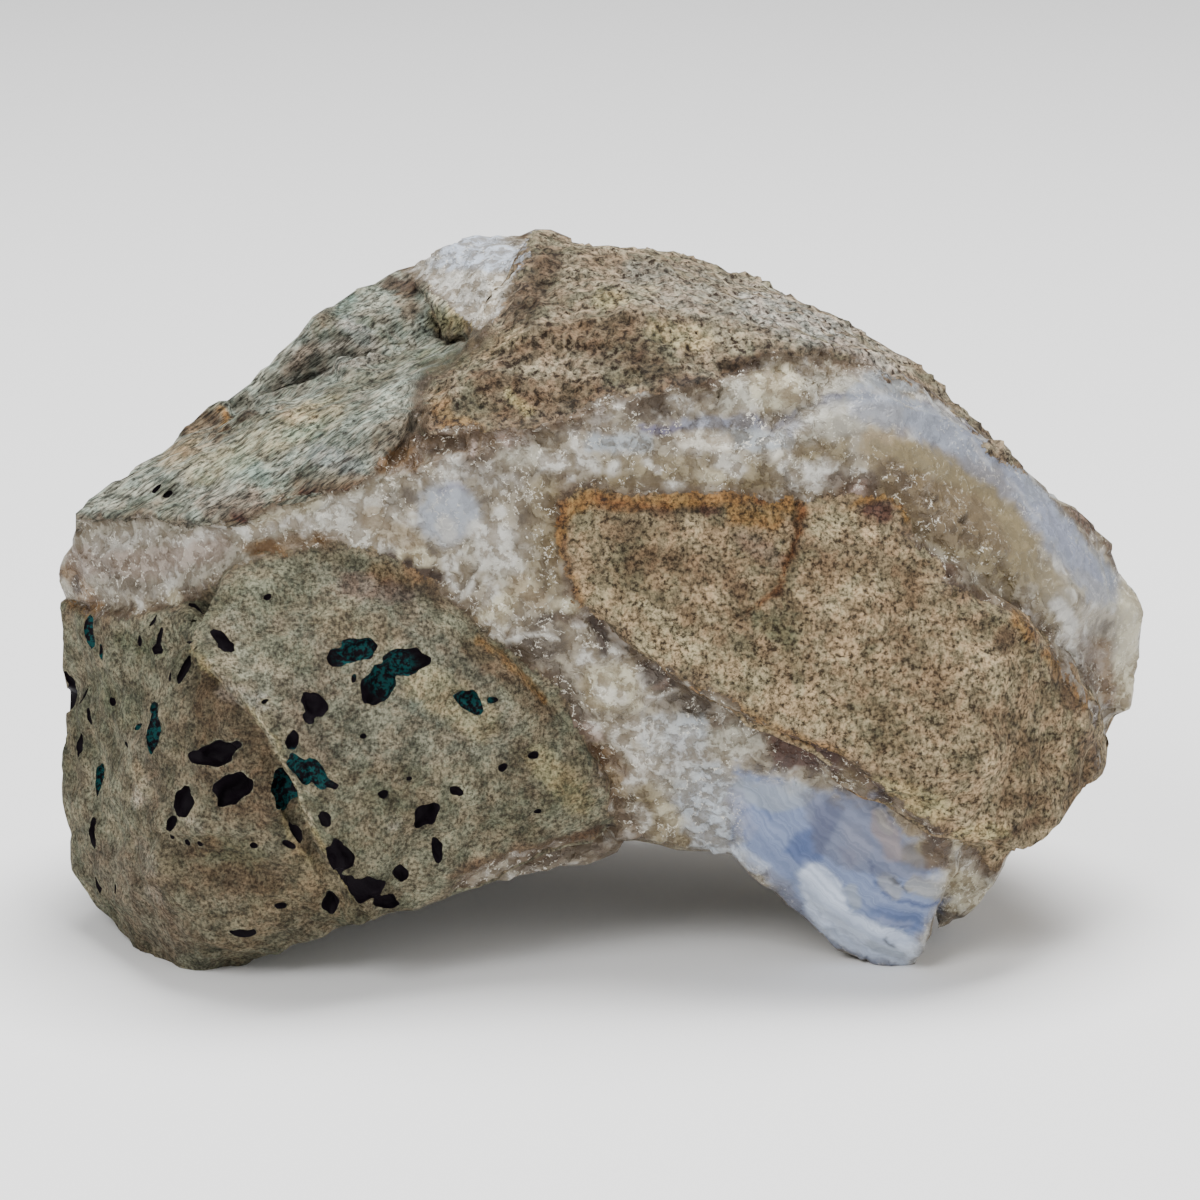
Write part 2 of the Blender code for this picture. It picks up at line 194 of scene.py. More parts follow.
AGATE = {
    "seams": {
        "seen": [
            (-69.8, 48.5, -6), (-69.5, 52, -8), (-67.8, 57.5, -12), (-60, 57.5, -19), (-60, 47, -20.5),
            (-52, 57.3, -26), (-50, 50, -28), (-45, 58.5, -29), (-35, 60, -31), (-14, 68, -32),
            (-18, 46, -33), (-10, 42, -33), (-5, 66, -32.5), (10, 66, -33), (22, 68, -32),
            (30, 72, -29), (38, 74, -24), (45, 72, -18), (50, 54, -28), (57, 57, -18), (60, 48, -22),
            (64, 50, -14), (66, 40, -12), (53.4, 64.4, -4), (63.3, 59, -5), (66.8, 55, -5),
            (70.4, 48.5, -5), (71, 46.5, -6), (70.2, 44, -7), (68.7, 36, -6), (67.7, 32, -6),
            (18, 30, -33), (10, 26, -31), (1, 17.6, -26), (8, 15.9, -26), (15, 14.2, -25),
            (36, 24, -33),
        ],
        "hidden": [
            (67, 8, 38), (61, 19, 45), (53, 27, 47), (42, 31, 52), (14, 39, 60), (-10, 38.5, 64),
            (-20, 36, 64), (-40, 34, 52), (-56, 24, 46), (-40, 34, 26), (-37, 28, 13), (14, 39.5, 34),
            (12, 36, 18), (18, 24, 11), (-6, 8, 10), (-20, 22, 10), (-64, 14, 48), (-14, 32, 71),
            (64, 17, 34),
        ],
    },
    "upper_seam": {
        "seen": [
            (-24.5, 62, -31.5), (-26, 66, -28), (-23.5, 71.5, -25), (-20.5, 75.5, -19.5),
            (-14, 69.5, -30.8), (3, 72, -31.5), (18, 76.8, -29), (26, 79.5, -24.5), (32, 80.3, -19.5),
            (38, 78.6, -15), (44, 74.6, -9.5), (50, 69, -7), (56, 62.5, -7), (46, 69, -20),
            (38, 71, -26), (22, 66, -32.3), (0, 62, -32.3), (52, 62, -19),
        ],
        "hidden": [
            (-16, 10, 60), (0, 20, 60), (35, 10, 50), (50, 5, 50),
        ],
    },
    "under_crust": {
        "seen": [
            (-24, 8.4, -26), (-18, 10.2, -26), (-8, 12.1, -25), (-2, 13.4, -24), (2, 15.2, -23),
            (3.5, 18, -25),
        ],
        "hidden": [
            (-22, -4, 14), (0, -4, 16), (-24, -10, 20), (3, -10, 22),
        ],
    },
    "peaks": {
        "seen": [
            (-25.5, 90.4, 23), (-19.8, 93, 20), (-16.4, 94.8, 22), (-7.5, 96.2, 24), (-3.5, 95, 24),
            (-15.5, 82, -7), (-11, 86, -6), (-9.5, 92.2, 5),
        ],
        "hidden": [
            (-24, 27, 76), (-2, 29, 80), (-18, 35, 68), (-8, 36, 70), (-12, 0, 60), (0, 10, 70),
        ],
    },
    "blue_tongue": {
        "seen": [
            (16, 16, -26), (24.2, 8, -22), (27.6, 4.4, -21.5), (30.3, 2.4, -21.5), (34, 0.6, -22.5),
            (38, -0.3, -24), (41.6, 0.8, -24), (43.3, 4.8, -25), (45, 10, -26), (47, 16, -28),
            (46, 19, -30), (36, 25, -33), (27, 28, -33), (18, 28, -32), (31, 7, -27), (38, 3, -27.5),
            (42, 3, -27),
        ],
        "hidden": [
            (34, -14, -1), (40, -22, -1), (41, -5, -1), (36, 6, -1), (25, 8, 12), (20, 5, 20),
            (44, 8, 12), (44, 0, 8),
        ],
    },
    "tongue_lump": {
        "seen": [
            (43.5, 4.6, -16), (46, 5.4, -15), (48.9, 7.2, -15), (50.9, 10.6, -15), (54, 17, -18),
            (47, 17, -24), (45, 11, -22),
        ],
        "hidden": [
            (44, 2, 6), (48, 4, 10), (52, 6, 18), (46, 10, 20),
        ],
    },
}
print(len(ROCK), "blocks of rock and", len(AGATE), "masses of agate")

# %% [markdown]
# By hand, a hull is made by adding the points, selecting them all and calling Convex Hull in edit mode.
# Each hull here is made just so. They overlap, and Boolean unions then join them into one closed body. An
# operator acts on everything that is selected, so `only` first selects the one object that it is meant for.

# %% Hulls, joined
def only(obj):
    """Makes this object the only one that operators act on."""
    bpy.ops.object.select_all(action="DESELECT")
    obj.select_set(True)
    bpy.context.view_layer.objects.active = obj
    return obj


def modified(obj, kind, **settings):
    """Adds a modifier with some settings, and applies it."""
    only(obj)
    bpy.ops.object.modifier_add(type=kind)
    modifier = obj.modifiers[-1]
    for name, value in settings.items():
        setattr(modifier, name, value)
    bpy.ops.object.modifier_apply(modifier=modifier.name)
    return obj


def object_of(name, points, faces=()):
    """An object from points in millimetres."""
    mesh = bpy.data.meshes.new(name)
    mesh.from_pydata([Vector(point) * MM for point in points], [], faces)
    obj = bpy.data.objects.new(name, mesh)
    bpy.context.scene.collection.objects.link(obj)
    return obj


def hull_of(name, block):
    """The convex hull of a block's corners."""
    corners = [seen_corner(*corner) for corner in block["seen"]]
    corners += [Vector(corner) for corner in block["hidden"]]
    hull = only(object_of(name, corners))
    bpy.ops.object.mode_set(mode="EDIT")
    bpy.ops.mesh.select_all(action="SELECT")
    bpy.ops.mesh.convex_hull()
    bpy.ops.mesh.normals_make_consistent(inside=False)
    bpy.ops.object.mode_set(mode="OBJECT")
    return hull


def planes_of(hull):
    """The planes of a hull's faces: outward normals, and distances from the origin in millimetres."""
    faces = hull.data.polygons
    normals = np.array([face.normal for face in faces])
    return normals, np.array([face.normal.dot(face.center) for face in faces]) / MM


rock_hulls = {name: hull_of(name, block) for name, block in ROCK.items()}
agate_hulls = {name: hull_of(name, block) for name, block in AGATE.items()}
rock_planes = {name: planes_of(hull) for name, hull in rock_hulls.items()}
agate_planes = {name: planes_of(hull) for name, hull in agate_hulls.items()}

stone, *others = [*agate_hulls.values(), *rock_hulls.values()]
for other in others:
    modified(stone, "BOOLEAN", operation="UNION", object=other)
    bpy.data.objects.remove(other)
stone.name = stone.data.name = "geode_stone"
print(len(others) + 1, "hulls joined into a body of", len(stone.data.polygons), "faces")

# %% [markdown]
# The joined hulls have straight, sharp edges. A voxel remesh rebuilds the surface from small even cells,
# and a little smoothing then wears the edges round. The even cells are also what the lumps below are raised
# on.

# %% Worn edges
CELL = 0.5
WEAR = 0.5
WEAR_STEPS = 4
modified(stone, "REMESH", mode="VOXEL", voxel_size=CELL * MM)
modified(stone, "SMOOTH", factor=WEAR, iterations=WEAR_STEPS)
print("remade from", len(stone.data.polygons), "cells")

# %% [markdown]
# The next steps move every point of the surface in code, as a sculptor's brush would, because the rock and
# the agate need different lumps, and the front has marks at known places. NumPy handles all points at once.
#
# How deep a point lies in a block follows from the planes of the hull. Where it is deeper in the rock than
# in the agate, it is rock. The lumps are gradient noise of a few sizes, the same as in the CAD model.

# %% Lumps
ROCK_LUMPS = [(17.0, 1.2), (7.0, 1.0), (3.2, 0.6)]
AGATE_LUMPS = [(12.0, 1.3), (4.5, 0.8)]
LUMP_CHANGE = 2.0
POINTS_AT_ONCE = 40000


def read(mesh, what):
    """The points or normals of a mesh's vertices, one row each. Points are in millimetres."""
    values = np.empty(len(mesh.vertices) * 3)
    mesh.vertices.foreach_get(what, values)
    return values.reshape(-1, 3) / (MM if what == "co" else 1)


def move(mesh, points):
    """Moves the vertices of a mesh to points in millimetres."""
    mesh.vertices.foreach_set("co", (points * MM).ravel())
    mesh.update()


def outside(points, planes):
    """How far each point lies outside the nearest of some hulls. It is negative inside."""
    nearest = np.full(len(points), np.inf)
    for normals, distances in planes.values():
        for start in range(0, len(points), POINTS_AT_ONCE):
            part = slice(start, start + POINTS_AT_ONCE)
            nearest[part] = np.minimum(nearest[part], (points[part] @ normals.T - distances).max(axis=1))
    return nearest


def lumps(points, octaves):
    """The height of some octaves of noise, (size, height) each, at each point."""
    return np.array([sum(height * noise.noise(point / size) for size, height in octaves)
                     for point in map(Vector, points)])


def smooth_step(value, low, high):
    """0 below low, 1 above high, and a soft slope in between."""
    share = np.clip((value - low) / (high - low), 0, 1)
    return share * share * (3 - 2 * share)


points = read(stone.data, "co")
normals = read(stone.data, "normal")
into_rock = outside(points, agate_planes) - outside(points, rock_planes)
rocky = np.clip(0.5 + into_rock / LUMP_CHANGE, 0, 1)
heights = rocky * lumps(points, ROCK_LUMPS) + (1 - rocky) * lumps(points, AGATE_LUMPS)
move(stone.data, points + normals * heights[:, None])
print("lumps from", round(heights.min(), 1), "to", round(heights.max(), 1), "mm high")

# %% [markdown]
# From the eye's side, the edge of each face of rock was followed closely, because that edge is what a person
# sees first. Each outline is a ring of (across, up) places. Past the stone's own edge it only has to stay
# outside. A thin skin of agate lies under the left-hand block.

# %% The faces of rock that the eye sees
FACES = {
    "left": [
        (-69.9, 47.8), (-66, 45.8), (-58.8, 46.1), (-53.7, 47.8), (-50.8, 49.1), (-47.8, 52.5),
        (-43.9, 54.1), (-39.4, 54.2), (-35, 55.4), (-30.2, 55.4), (-26.4, 53.2), (-22, 50.6),
        (-20.2, 48.1), (-16.9, 45.6), (-11.4, 41.1), (-5.2, 35.6), (-1.3, 29.6), (0.8, 24.1), (2.7, 17.4),
        (0.7, 17.9), (-3.2, 16.9), (-7.8, 15.6), (-13, 14.3), (-18.1, 12.5), (-20.8, 8.2), (-39, -2.9),
        (-72.8, -2.9), (-74.1, 47.8),
    ],
    "slab": [
        (-70.2, 58), (-67.2, 58), (-58.8, 58.8), (-53.7, 57.6), (-48.6, 57.1), (-44.5, 58.4),
        (-41.1, 60.5), (-37.7, 61.8), (-31.5, 62.9), (-29.9, 64.7), (-27, 67.3), (-23.5, 69.2),
        (-23.5, 74.2), (-22.6, 77.1), (-19.5, 79.3), (-14.2, 81.8), (-15.2, 82.4), (-16.9, 84),
        (-20.8, 87.1), (-25.7, 90.5), (-26.7, 92.7), (-39, 92), (-54, 76), (-68, 65), (-72, 60.8),
    ],
    "crown": [
        (-23.5, 69.2), (-15.7, 70.5), (-8.7, 70.2), (-7.5, 71.1), (-1.2, 72.9), (1.7, 74.2), (10.4, 75.1),
        (15.6, 76.8), (18.9, 79), (21.8, 80.1), (27.9, 80.3), (33.4, 79), (38.5, 76.3), (43.3, 74.1),
        (46.4, 71.2), (48.6, 69.9), (51.5, 66.6), (54.3, 64.5), (58.5, 65.4), (52, 78), (39, 89),
        (20.8, 99), (0, 101), (-8.5, 99), (-9.5, 93.3), (-11.7, 88.1), (-15.2, 82.4), (-14.2, 81.8),
        (-19.5, 79.3), (-22.6, 77.1), (-23.5, 74.2),
    ],
    "right": [
        (-5.6, 57.2), (-5.3, 60.1), (-1.8, 62), (3.9, 61.1), (14.8, 62.1), (20.3, 61.8), (25.7, 60.5),
        (33.4, 60.8), (37.1, 61.6), (40, 59.5), (41, 55.6), (44.2, 53), (46.1, 49.1), (52, 46.5),
        (55.9, 45.9), (58.5, 41.3), (62.1, 36.1), (65, 29.6), (65.7, 23.1), (59.8, 16.6), (53.3, 11.4),
        (44.6, 18.5), (41.2, 19.8), (36.3, 23.8), (31.3, 28.3), (27.9, 28.7), (21.3, 31.7), (18.1, 34.1),
        (12.1, 36.4), (5.7, 40.7), (0, 45.2), (-3.2, 47.8),
    ],
    "strip": [(59.8, 60.8), (60.6, 59.9), (66.3, 54.2), (67.5, 51.4), (71, 51.7), (67, 61.5)],
}
BLOCK_FACES = {
    "left": ["bubbly_block", "proud_block"],
    "slab": ["slab", "ledge", "ledge_foot"],
    "crown": ["crown"],
    "right": ["right_block"],
    "strip": ["back_block"],
}
TURNED_BETWEEN = (0.02, 0.3)
WANDER = [(5.5, 0.9), (2.0, 0.7), (0.8, 0.35)]
TINY = 1e-9


def to_line(seen, line):
    """How far each seen point lies from a line through some points. It is positive on the line's left."""
    line = [np.array(point) for point in line]
    nearest = np.full(len(seen), np.inf)
    if len(line) == 1:
        return np.hypot(*(seen - line[0]).T)
    side = np.ones(len(seen))
    for start, end in zip(line, line[1:]):
        along = end - start
        share = np.clip((seen - start) @ along / (along @ along), 0, 1)
        off = seen - start - share[:, None] * along
        distance = np.hypot(*off.T)
        closer = distance < nearest
        nearest = np.where(closer, distance, nearest)
        side = np.where(closer, np.where(along[0] * off[:, 1] < along[1] * off[:, 0], -1.0, 1.0), side)
    return nearest * side


def into_ring(seen, ring):
    """How deep each seen point lies inside a ring. It is negative outside."""
    inside = np.zeros(len(seen), bool)
    for start, end in zip(ring, ring[1:] + ring[:1]):
        level = (start[1] > seen[:, 1]) != (end[1] > seen[:, 1])
        rise = (end[1] - start[1]) or TINY
        inside ^= level & (seen[:, 0] < start[0] + (seen[:, 1] - start[1]) * (end[0] - start[0]) / rise)
    distance = np.abs(to_line(seen, ring + ring[:1]))
    return np.where(inside, distance, -distance)


def facing(points, normals):
    """How far each point's surface is turned to the eye, from 0 to 1."""
    sight = np.array(EYE) - points
    sight /= np.linalg.norm(sight, axis=1)[:, None]
    return smooth_step((normals * sight).sum(axis=1), *TURNED_BETWEEN)


def wandering(points, size, height):
    """A shift for each seen point, so that drawn edges wander as natural ones do."""
    return np.array([noise.noise_vector(point / size)[:2] for point in map(Vector, points)]) * height


def wander(points):
    """The shift that every drawn edge gets: broad, middling and fine."""
    return sum(wandering(points, size, height) for size, height in WANDER)


print(len(FACES), "faces of rock, outlined by", sum(len(ring) for ring in FACES.values()), "places")

# %% [markdown]
# The forms that a hull can't give are raised and sunk with soft strokes. Each stroke has a height, a half
# width and the places it runs through: the round knob of agate in the middle, the ridge and the crack, the
# shelf of white agate on the tongue, and the dents in between. A step has a height and a line, and the
# surface is raised on the line's left and sunk on its right.

# %% Strokes of relief
RELIEF = [
    (1.3, 3.9, (-19.6, 59.2)),
    (0.8, 2.6, (0.5, 36.9), (2.6, 34.8)),
    (0.7, 2.2, (17.6, 74.4), (21.8, 75.7), (25.6, 74.6)),
    (0.5, 2, (-16, 44.4), (-13.3, 47.5)),
    (-0.5, 1.8, (4, 73.4), (7.3, 73.2)),
    (-0.6, 1.6, (10.4, 33.8), (13, 33.4)),
    (-0.5, 2.6, (42.2, 64.5), (49.4, 61.9)),
    (-0.9, 0.8, (47.7, 58.3)),
    (-0.7, 0.7, (47.3, 56.3)),
    (-0.9, 0.6, (41.9, 52.8)),
    (-0.9, 0.6, (45.5, 51.2)),
    (-0.9, 0.8, (46.5, 48.6)),
    (0.35, 0.5, (-53.3, 42.6), (-46.8, 37.4), (-40.3, 29.6), (-37.7, 21.8), (-32.5, 15.3), (-29.9, 10.1)),
    (-0.55, 0.5, (25.6, 60.8), (25.7, 57.2), (24.7, 53.6), (23.3, 50.2), (19.6, 46.5), (17, 44.7)),
    (0.5, 1.6, (26.4, 11.7), (29.4, 9.2), (33.8, 4.3), (37.7, 2.9), (41.2, 2.6)),
    (-0.4, 1.5, (30.9, 21), (28.9, 17.9), (26.8, 14.6)),
    (-0.5, 1.2, (-3.9, 17.2), (-0.8, 18), (1.9, 18.3)),
    (-0.4, 1.2, (-30, 66), (-25.8, 66.9)),
    (-1.5, 0.8, (-49.5, 70), (-46.5, 71), (-43.9, 72)),
    (-0.6, 0.9, (-42, 73), (-38.9, 75), (-37.1, 76.6)),
    (1.3, 1.8, (-33, 77.6), (-30, 79), (-26, 81.3), (-22, 83.4)),
    (1.3, 1.5, (-25, 81.2), (-21, 81.9), (-18.5, 82.4)),
    (0.8, 1.3, (-45, 73.8), (-40, 76.9), (-38, 78.9), (-35, 80.3), (-31, 80.7), (-28.5, 82)),
    (0.5, 0.9, (-35.9, 82.4), (-32.9, 83), (-30.6, 82.6)),
    (-0.9, 1.2, (16.2, 77.8), (18.9, 78), (21.2, 78.8)),
    (-0.6, 1.5, (-8, 88), (-4, 86)),
    (-0.6, 1.8, (4, 84), (9, 82)),
    (0.5, 2.2, (12, 86), (18, 84)),
    (-0.5, 2.4, (-61, 37), (-60, 29)),
    (-0.6, 2.6, (-49, 13), (-42, 12)),
    (0.5, 2.4, (-49, 20.5), (-44, 21)),
    (-0.4, 2.2, (-20, 33), (-14, 28)),
    (0.45, 2.4, (-30, 46), (-24, 42)),
]
STEPS = [
    (1.1, (-53.3, 42.6), (-47.8, 36.1), (-43.9, 32), (-40.3, 25.7), (-36.1, 15.3), (-32.2, 9.8)),
    (0.4, (-70.2, 58), (-67.2, 58), (-58.8, 58.8), (-53.7, 57.6), (-48.6, 57.1), (-44.5, 58.4),
     (-41.1, 60.5), (-37.7, 61.8), (-31.5, 62.9)),
    (0.6, (13, 35.2), (18.2, 33), (24.7, 30), (31.2, 28.4), (36.4, 23.1), (41, 22.5), (48.8, 17.3),
     (53.3, 15.3)),
    (0.5, (-55.9, 17.3), (-50.7, 17.3), (-43.9, 17.3), (-41.2, 20.8)),
    (0.35, (26, 60.4), (25.7, 56.9), (24.7, 53.6), (23.3, 50.2), (19.6, 46.5), (17, 44.7)),
]
print(len(RELIEF), "strokes and", len(STEPS), "steps")

# %% [markdown]
# Now they are laid on. Where the eye sees the surface, the drawn outlines say what is rock, and elsewhere
# the hulls say it. The rock stands a little prouder than the agate beside it. The strokes fade out where
# the surface turns away from the eye, because they were drawn from there.

# %% Relief laid on
STROKE_WANDER = (3.0, 0.4)
STROKE_CORE = 0.2
STROKE_EDGE = 1.1
STEP_SHARP = 0.35
STEP_REACH = 3.0
FACE_STEP = 0.3
FACE_STEP_WIDTH = 1.6
DEPTH_REACH = 6.0


def drawn_depth(points, seen, turned):
    """How deep each point lies in rock: by the drawn faces where the eye sees it, by the hulls elsewhere."""
    drawn = np.full(len(points), -np.inf)
    for ring in FACES.values():
        drawn = np.maximum(drawn, into_ring(seen, ring))
    by_hull = outside(points, agate_planes) - outside(points, rock_planes)
    drawn = np.clip(drawn, -DEPTH_REACH, DEPTH_REACH)
    by_hull = np.clip(by_hull, -DEPTH_REACH, DEPTH_REACH)
    return turned * drawn + (1 - turned) * by_hull


points = read(stone.data, "co")
normals = read(stone.data, "normal")
turned = facing(points, normals)
seen = as_seen(points)
rock_depth = drawn_depth(points, seen + wander(points), turned)
rocky = smooth_step(rock_depth, -FACE_STEP_WIDTH / 2, FACE_STEP_WIDTH / 2)

heights = FACE_STEP * (rocky - 0.5)
strokes = np.zeros(len(points))
bent = seen + wandering(points, *STROKE_WANDER)
for height, half_width, *line in RELIEF:
    off = np.abs(to_line(bent, line))
    strokes += height * (1 - smooth_step(off, STROKE_CORE * half_width, STROKE_EDGE * half_width))
for height, *line in STEPS:
    off = to_line(bent, line)
    strokes += height * np.tanh(off / STEP_SHARP) * np.exp(-(off / STEP_REACH) ** 2)
heights += strokes * turned
print("strokes of relief:", len(RELIEF), "from", round(strokes.min(), 2), "to", round(strokes.max(), 2), "mm")

# %% [markdown]
# Then comes the fine roughness, which differs from place to place. The old lava is grainy all over. On the
# slab it runs in slanting streaks, and the crown has the coarsest grain. The agate breaks in tilted chips.
# It is smooth on the tongue and on the round knob, and waxy along the upper right.

# %% Fine roughness
KNOB = (-19.6, 59.2)
KNOB_RADIUS = 4.6
WAXY_LINE = [(34, 72), (42, 69.5), (49, 64), (56, 57), (61.5, 51), (66, 44)]
WAXY_WIDTH = 6.5
TONGUE_LINE = [(20, 22), (30, 15), (39, 6)]
TONGUE_WIDTH = 7.5
STREAK = math.radians(38)
STREAK_SIZE = (4.5, 0.9)
GRAIN_SIZE = 1.9
CLOD_SIZE = 1.5
CHIP_SIZES = (3.4, 1.6)
CHIP_SHIFT = 9
FACE_REACH = 9.0
FACE_CHANGE = 0.5


def noise_at(points, size, octaves=1):
    """Noise of a size in millimetres, and of finer octaves on top of it, between about -1 and 1."""
    if octaves == 1:
        return np.array([noise.noise(point / size) for point in map(Vector, points)])
    return np.array([noise.fractal(point / size, 0.7, 2.1, octaves) for point in map(Vector, points)])


def round_lumps(points, size):
    """Rounded lumps side by side, 1 at their tops and near 0 in the creases between them."""
    spread = [noise.voronoi(point / size)[0] for point in map(Vector, points)]
    return np.array([min(1.0, (second - first) * 1.6) for first, second, *_ in spread])


def chips(points, size):
    """Flat chips side by side, each tilted its own way, as glassy stone breaks."""
    heights = []
    for point in map(Vector, points / size):
        centre = noise.voronoi(point)[1][0]
        heights.append((point - centre).dot(noise.noise_vector(centre * 7.3)) * 2)
    return np.array(heights)


def face_depths(seen, points, turned):
    """For each face of rock, how deep each point lies in it."""
    depths = {}
    for name, blocks in BLOCK_FACES.items():
        by_hull = -outside(points, {block: rock_planes[block] for block in blocks})
        drawn = into_ring(seen, FACES[name])
        drawn, by_hull = np.clip((drawn, by_hull), -FACE_REACH, FACE_REACH)
        depths[name] = turned * drawn + (1 - turned) * by_hull
    return depths


def shares(depths, change):
    """How far each face has a point to itself, from 0 to 1, changing over a strip of some width."""
    weights = {name: np.exp(depth / change) for name, depth in depths.items()}
    total = sum(weights.values())
    return {name: weight / total for name, weight in weights.items()}


def smooth_places(seen, turned, tongue, knob_share, waxy_share):
    """How smooth the agate is: all of the tongue, and a share of the round knob and of the waxy stretch."""
    knob = smooth_step(KNOB_RADIUS - to_line(seen, [KNOB]), 0, 1.4) * turned
    waxy = smooth_step(WAXY_WIDTH - np.abs(to_line(seen, WAXY_LINE)), 0, 3) * turned
    return np.maximum(tongue, np.maximum(knob_share * knob, waxy_share * waxy))


share = shares(face_depths(seen, points, turned), FACE_CHANGE)
grain = noise_at(points, GRAIN_SIZE, 3)
across_streaks = points[:, 0] * math.sin(STREAK) - points[:, 2] * math.cos(STREAK)
along_streaks = points[:, 0] * math.cos(STREAK) + points[:, 2] * math.sin(STREAK)
streaks = noise_at(np.column_stack((
    along_streaks / STREAK_SIZE[0], across_streaks / STREAK_SIZE[1], points[:, 1] / STREAK_SIZE[0])), 1.0, 2)
clods = round_lumps(points, CLOD_SIZE)
broken = chips(points, CHIP_SIZES[0]) + 0.5 * chips(points + CHIP_SHIFT, CHIP_SIZES[1])
tongue = smooth_step(TONGUE_WIDTH - np.abs(to_line(seen, TONGUE_LINE)), 0, 3) * turned
smooth = smooth_places(seen, turned, tongue, 0.8, 0.65)

rock_rough = (0.2 * grain * (1 - share["slab"]) + share["slab"] * (0.32 * streaks + 0.08 * grain)
              + share["crown"] * 0.6 * (clods - 0.5) + share["right"] * 0.2 * (clods - 0.5))
agate_rough = (1 - 0.85 * smooth) * (0.5 * broken + 0.14 * grain)
heights += rocky * rock_rough + (1 - rocky) * agate_rough
move(stone.data, points + normals * heights[:, None])
stone.data.attributes.new("turned", "FLOAT", "POINT").data.foreach_set("value", turned)
print("roughness of the rock up to", round(np.abs(rock_rough).max(), 2), "mm")

# %% [markdown]
# So many cells are more than a model can carry. Decimate keeps the triangles where the surface bends.
# Vertices with a low weight are kept longer, so the front, which is seen closest, stays finer than the
# back.

# %% Thinned
TRIANGLES = 160000
BACK_WEIGHT = 0.9
WEIGHT_SAY = 0.5
triangles = sum(len(face.vertices) - 2 for face in stone.data.polygons)
group = stone.vertex_groups.new(name="thin")
for index, weight in enumerate(BACK_WEIGHT * (1 - turned)):
    group.add([index], float(weight), "REPLACE")
modified(stone, "DECIMATE", ratio=TRIANGLES / triangles, vertex_group="thin", vertex_group_factor=WEIGHT_SAY)
stone.vertex_groups.clear()
print(triangles, "triangles thinned to", len(stone.data.polygons))

# %% [markdown]
# The bubbles are what is left of gas in the lava. They could be painted on as dark spots, but then no rim
# would catch the light, so each is a real hollow. A bubble on the front has its place (across and up), its
# length, its width and its slant in degrees. More of them, of no special order, pit the left-hand end.

# %% Gas bubbles
BUBBLES = [
    (-66.4, 43.5, 3.4, 1.9, -48), (-64.8, 41, 1.8, 0.7, -55), (-59.8, 42.5, 1.2, 0.6, 80),
    (-57.9, 45.2, 2, 0.5, 15), (-57.2, 43, 2.2, 0.6, 75), (-57.6, 41.4, 1.5, 1.1, 10),
    (-52.4, 46.9, 1.9, 0.9, 70), (-53.3, 41.7, 1.4, 1.2, -20), (-53.9, 38.9, 3.3, 0.9, 68),
    (-55.9, 37.8, 1, 0.4, -70), (-49.1, 42.5, 3, 1.1, -58), (-48.7, 41.8, 1.5, 1.2, 0),
    (-67, 35.3, 2.6, 0.5, 15), (-63.3, 34.6, 1.1, 0.9, 0), (-66.4, 32.7, 1.7, 0.7, -65),
    (-67.6, 29.2, 3.2, 1.5, 85), (-58.2, 30.6, 4, 2.1, 82), (-58, 33.8, 1.5, 1.2, 0),
    (-60, 31.3, 1.6, 0.6, 10), (-65.1, 24.5, 3.1, 1.4, 88), (-49.9, 27.8, 4.4, 2.4, 12),
    (-52.3, 27.2, 3.2, 1.4, 8), (-47.2, 29, 1, 0.8, 0), (-47.8, 23.3, 4.2, 3, 35),
    (-54.2, 21.5, 3.2, 2.3, 72), (-55.6, 18.8, 1.8, 1.1, 50), (-41.1, 23.4, 4.5, 2.9, 78),
    (-40, 29.5, 1.8, 1.4, 60), (-38.9, 25.9, 4, 1.8, -62), (-36.8, 25.4, 3.2, 1.5, -60),
    (-35.3, 24, 2.6, 0.8, -25), (-34.2, 40.2, 1.9, 1.7, 0), (-31.4, 41.4, 3.8, 2.3, 20),
    (-28.7, 36.9, 4.3, 2.8, 65), (-25.2, 39.8, 4.6, 2.5, 8), (-37.1, 34.2, 2.9, 2, -50),
    (-37.9, 32.4, 1.4, 0.9, -50), (-33.8, 14.3, 3.8, 2.7, -70), (-39.4, 17.5, 2.7, 1, -55),
    (-40.4, 16, 1.5, 0.8, -40), (-26, 12.4, 2, 1.3, -60), (-33.2, 11.5, 2.8, 1.1, -20),
    (-30.6, 10.3, 4.2, 2.9, -30), (-27.8, 8.6, 3.2, 1.5, -22), (-35, 8.5, 2.8, 1.5, 80),
    (-41.5, 8.1, 1.3, 0.8, 0), (-46.3, 4.3, 2.7, 1.4, -5), (-66, 17.4, 3.1, 1.6, -75),
    (-65.3, 10.8, 1.7, 1.2, 60), (-63, 10.3, 1.2, 0.5, 80), (-45, 15.9, 0.9, 0.7, 0),
    (-35.7, 19.4, 1.7, 1.2, -50), (-53.6, 16.3, 0.9, 0.7, 0), (-52, 16.1, 0.7, 0.6, 0),
    (-55.6, 17, 0.6, 0.5, 0), (-16.9, 34.7, 3.1, 1.9, -40), (-14, 34.8, 1.2, 0.7, 0),
    (-8.7, 27.6, 1.2, 0.8, 10), (-12.6, 26, 1.2, 0.9, 0), (-18.7, 23, 1.5, 0.9, -20),
    (-22.6, 19.8, 2.8, 2.2, 50), (-21.2, 15.4, 2.7, 1.2, -80), (-32, 37.6, 1, 0.5, 80),
    (-28.2, 22.6, 1.1, 0.9, 0), (-57.6, 62.3, 1.3, 0.9, 40), (-56.2, 61.5, 1.2, 0.8, 20),
    (-8.1, 20.3, 0.8, 0.6, 0), (-24.8, 24.6, 0.6, 0.5, 0), (-43.2, 48.2, 0.9, 0.6, 30),
    (-61.5, 29, 0.8, 0.6, 0), (-43.6, 34.6, 0.8, 0.5, 40), (-30.8, 30.1, 0.7, 0.6, 0),
]
END_BUBBLES = 16
END_LINE = Vector((-50.0, 0.0, 0.0))
END_HEIGHTS = (12.0, 42.0)
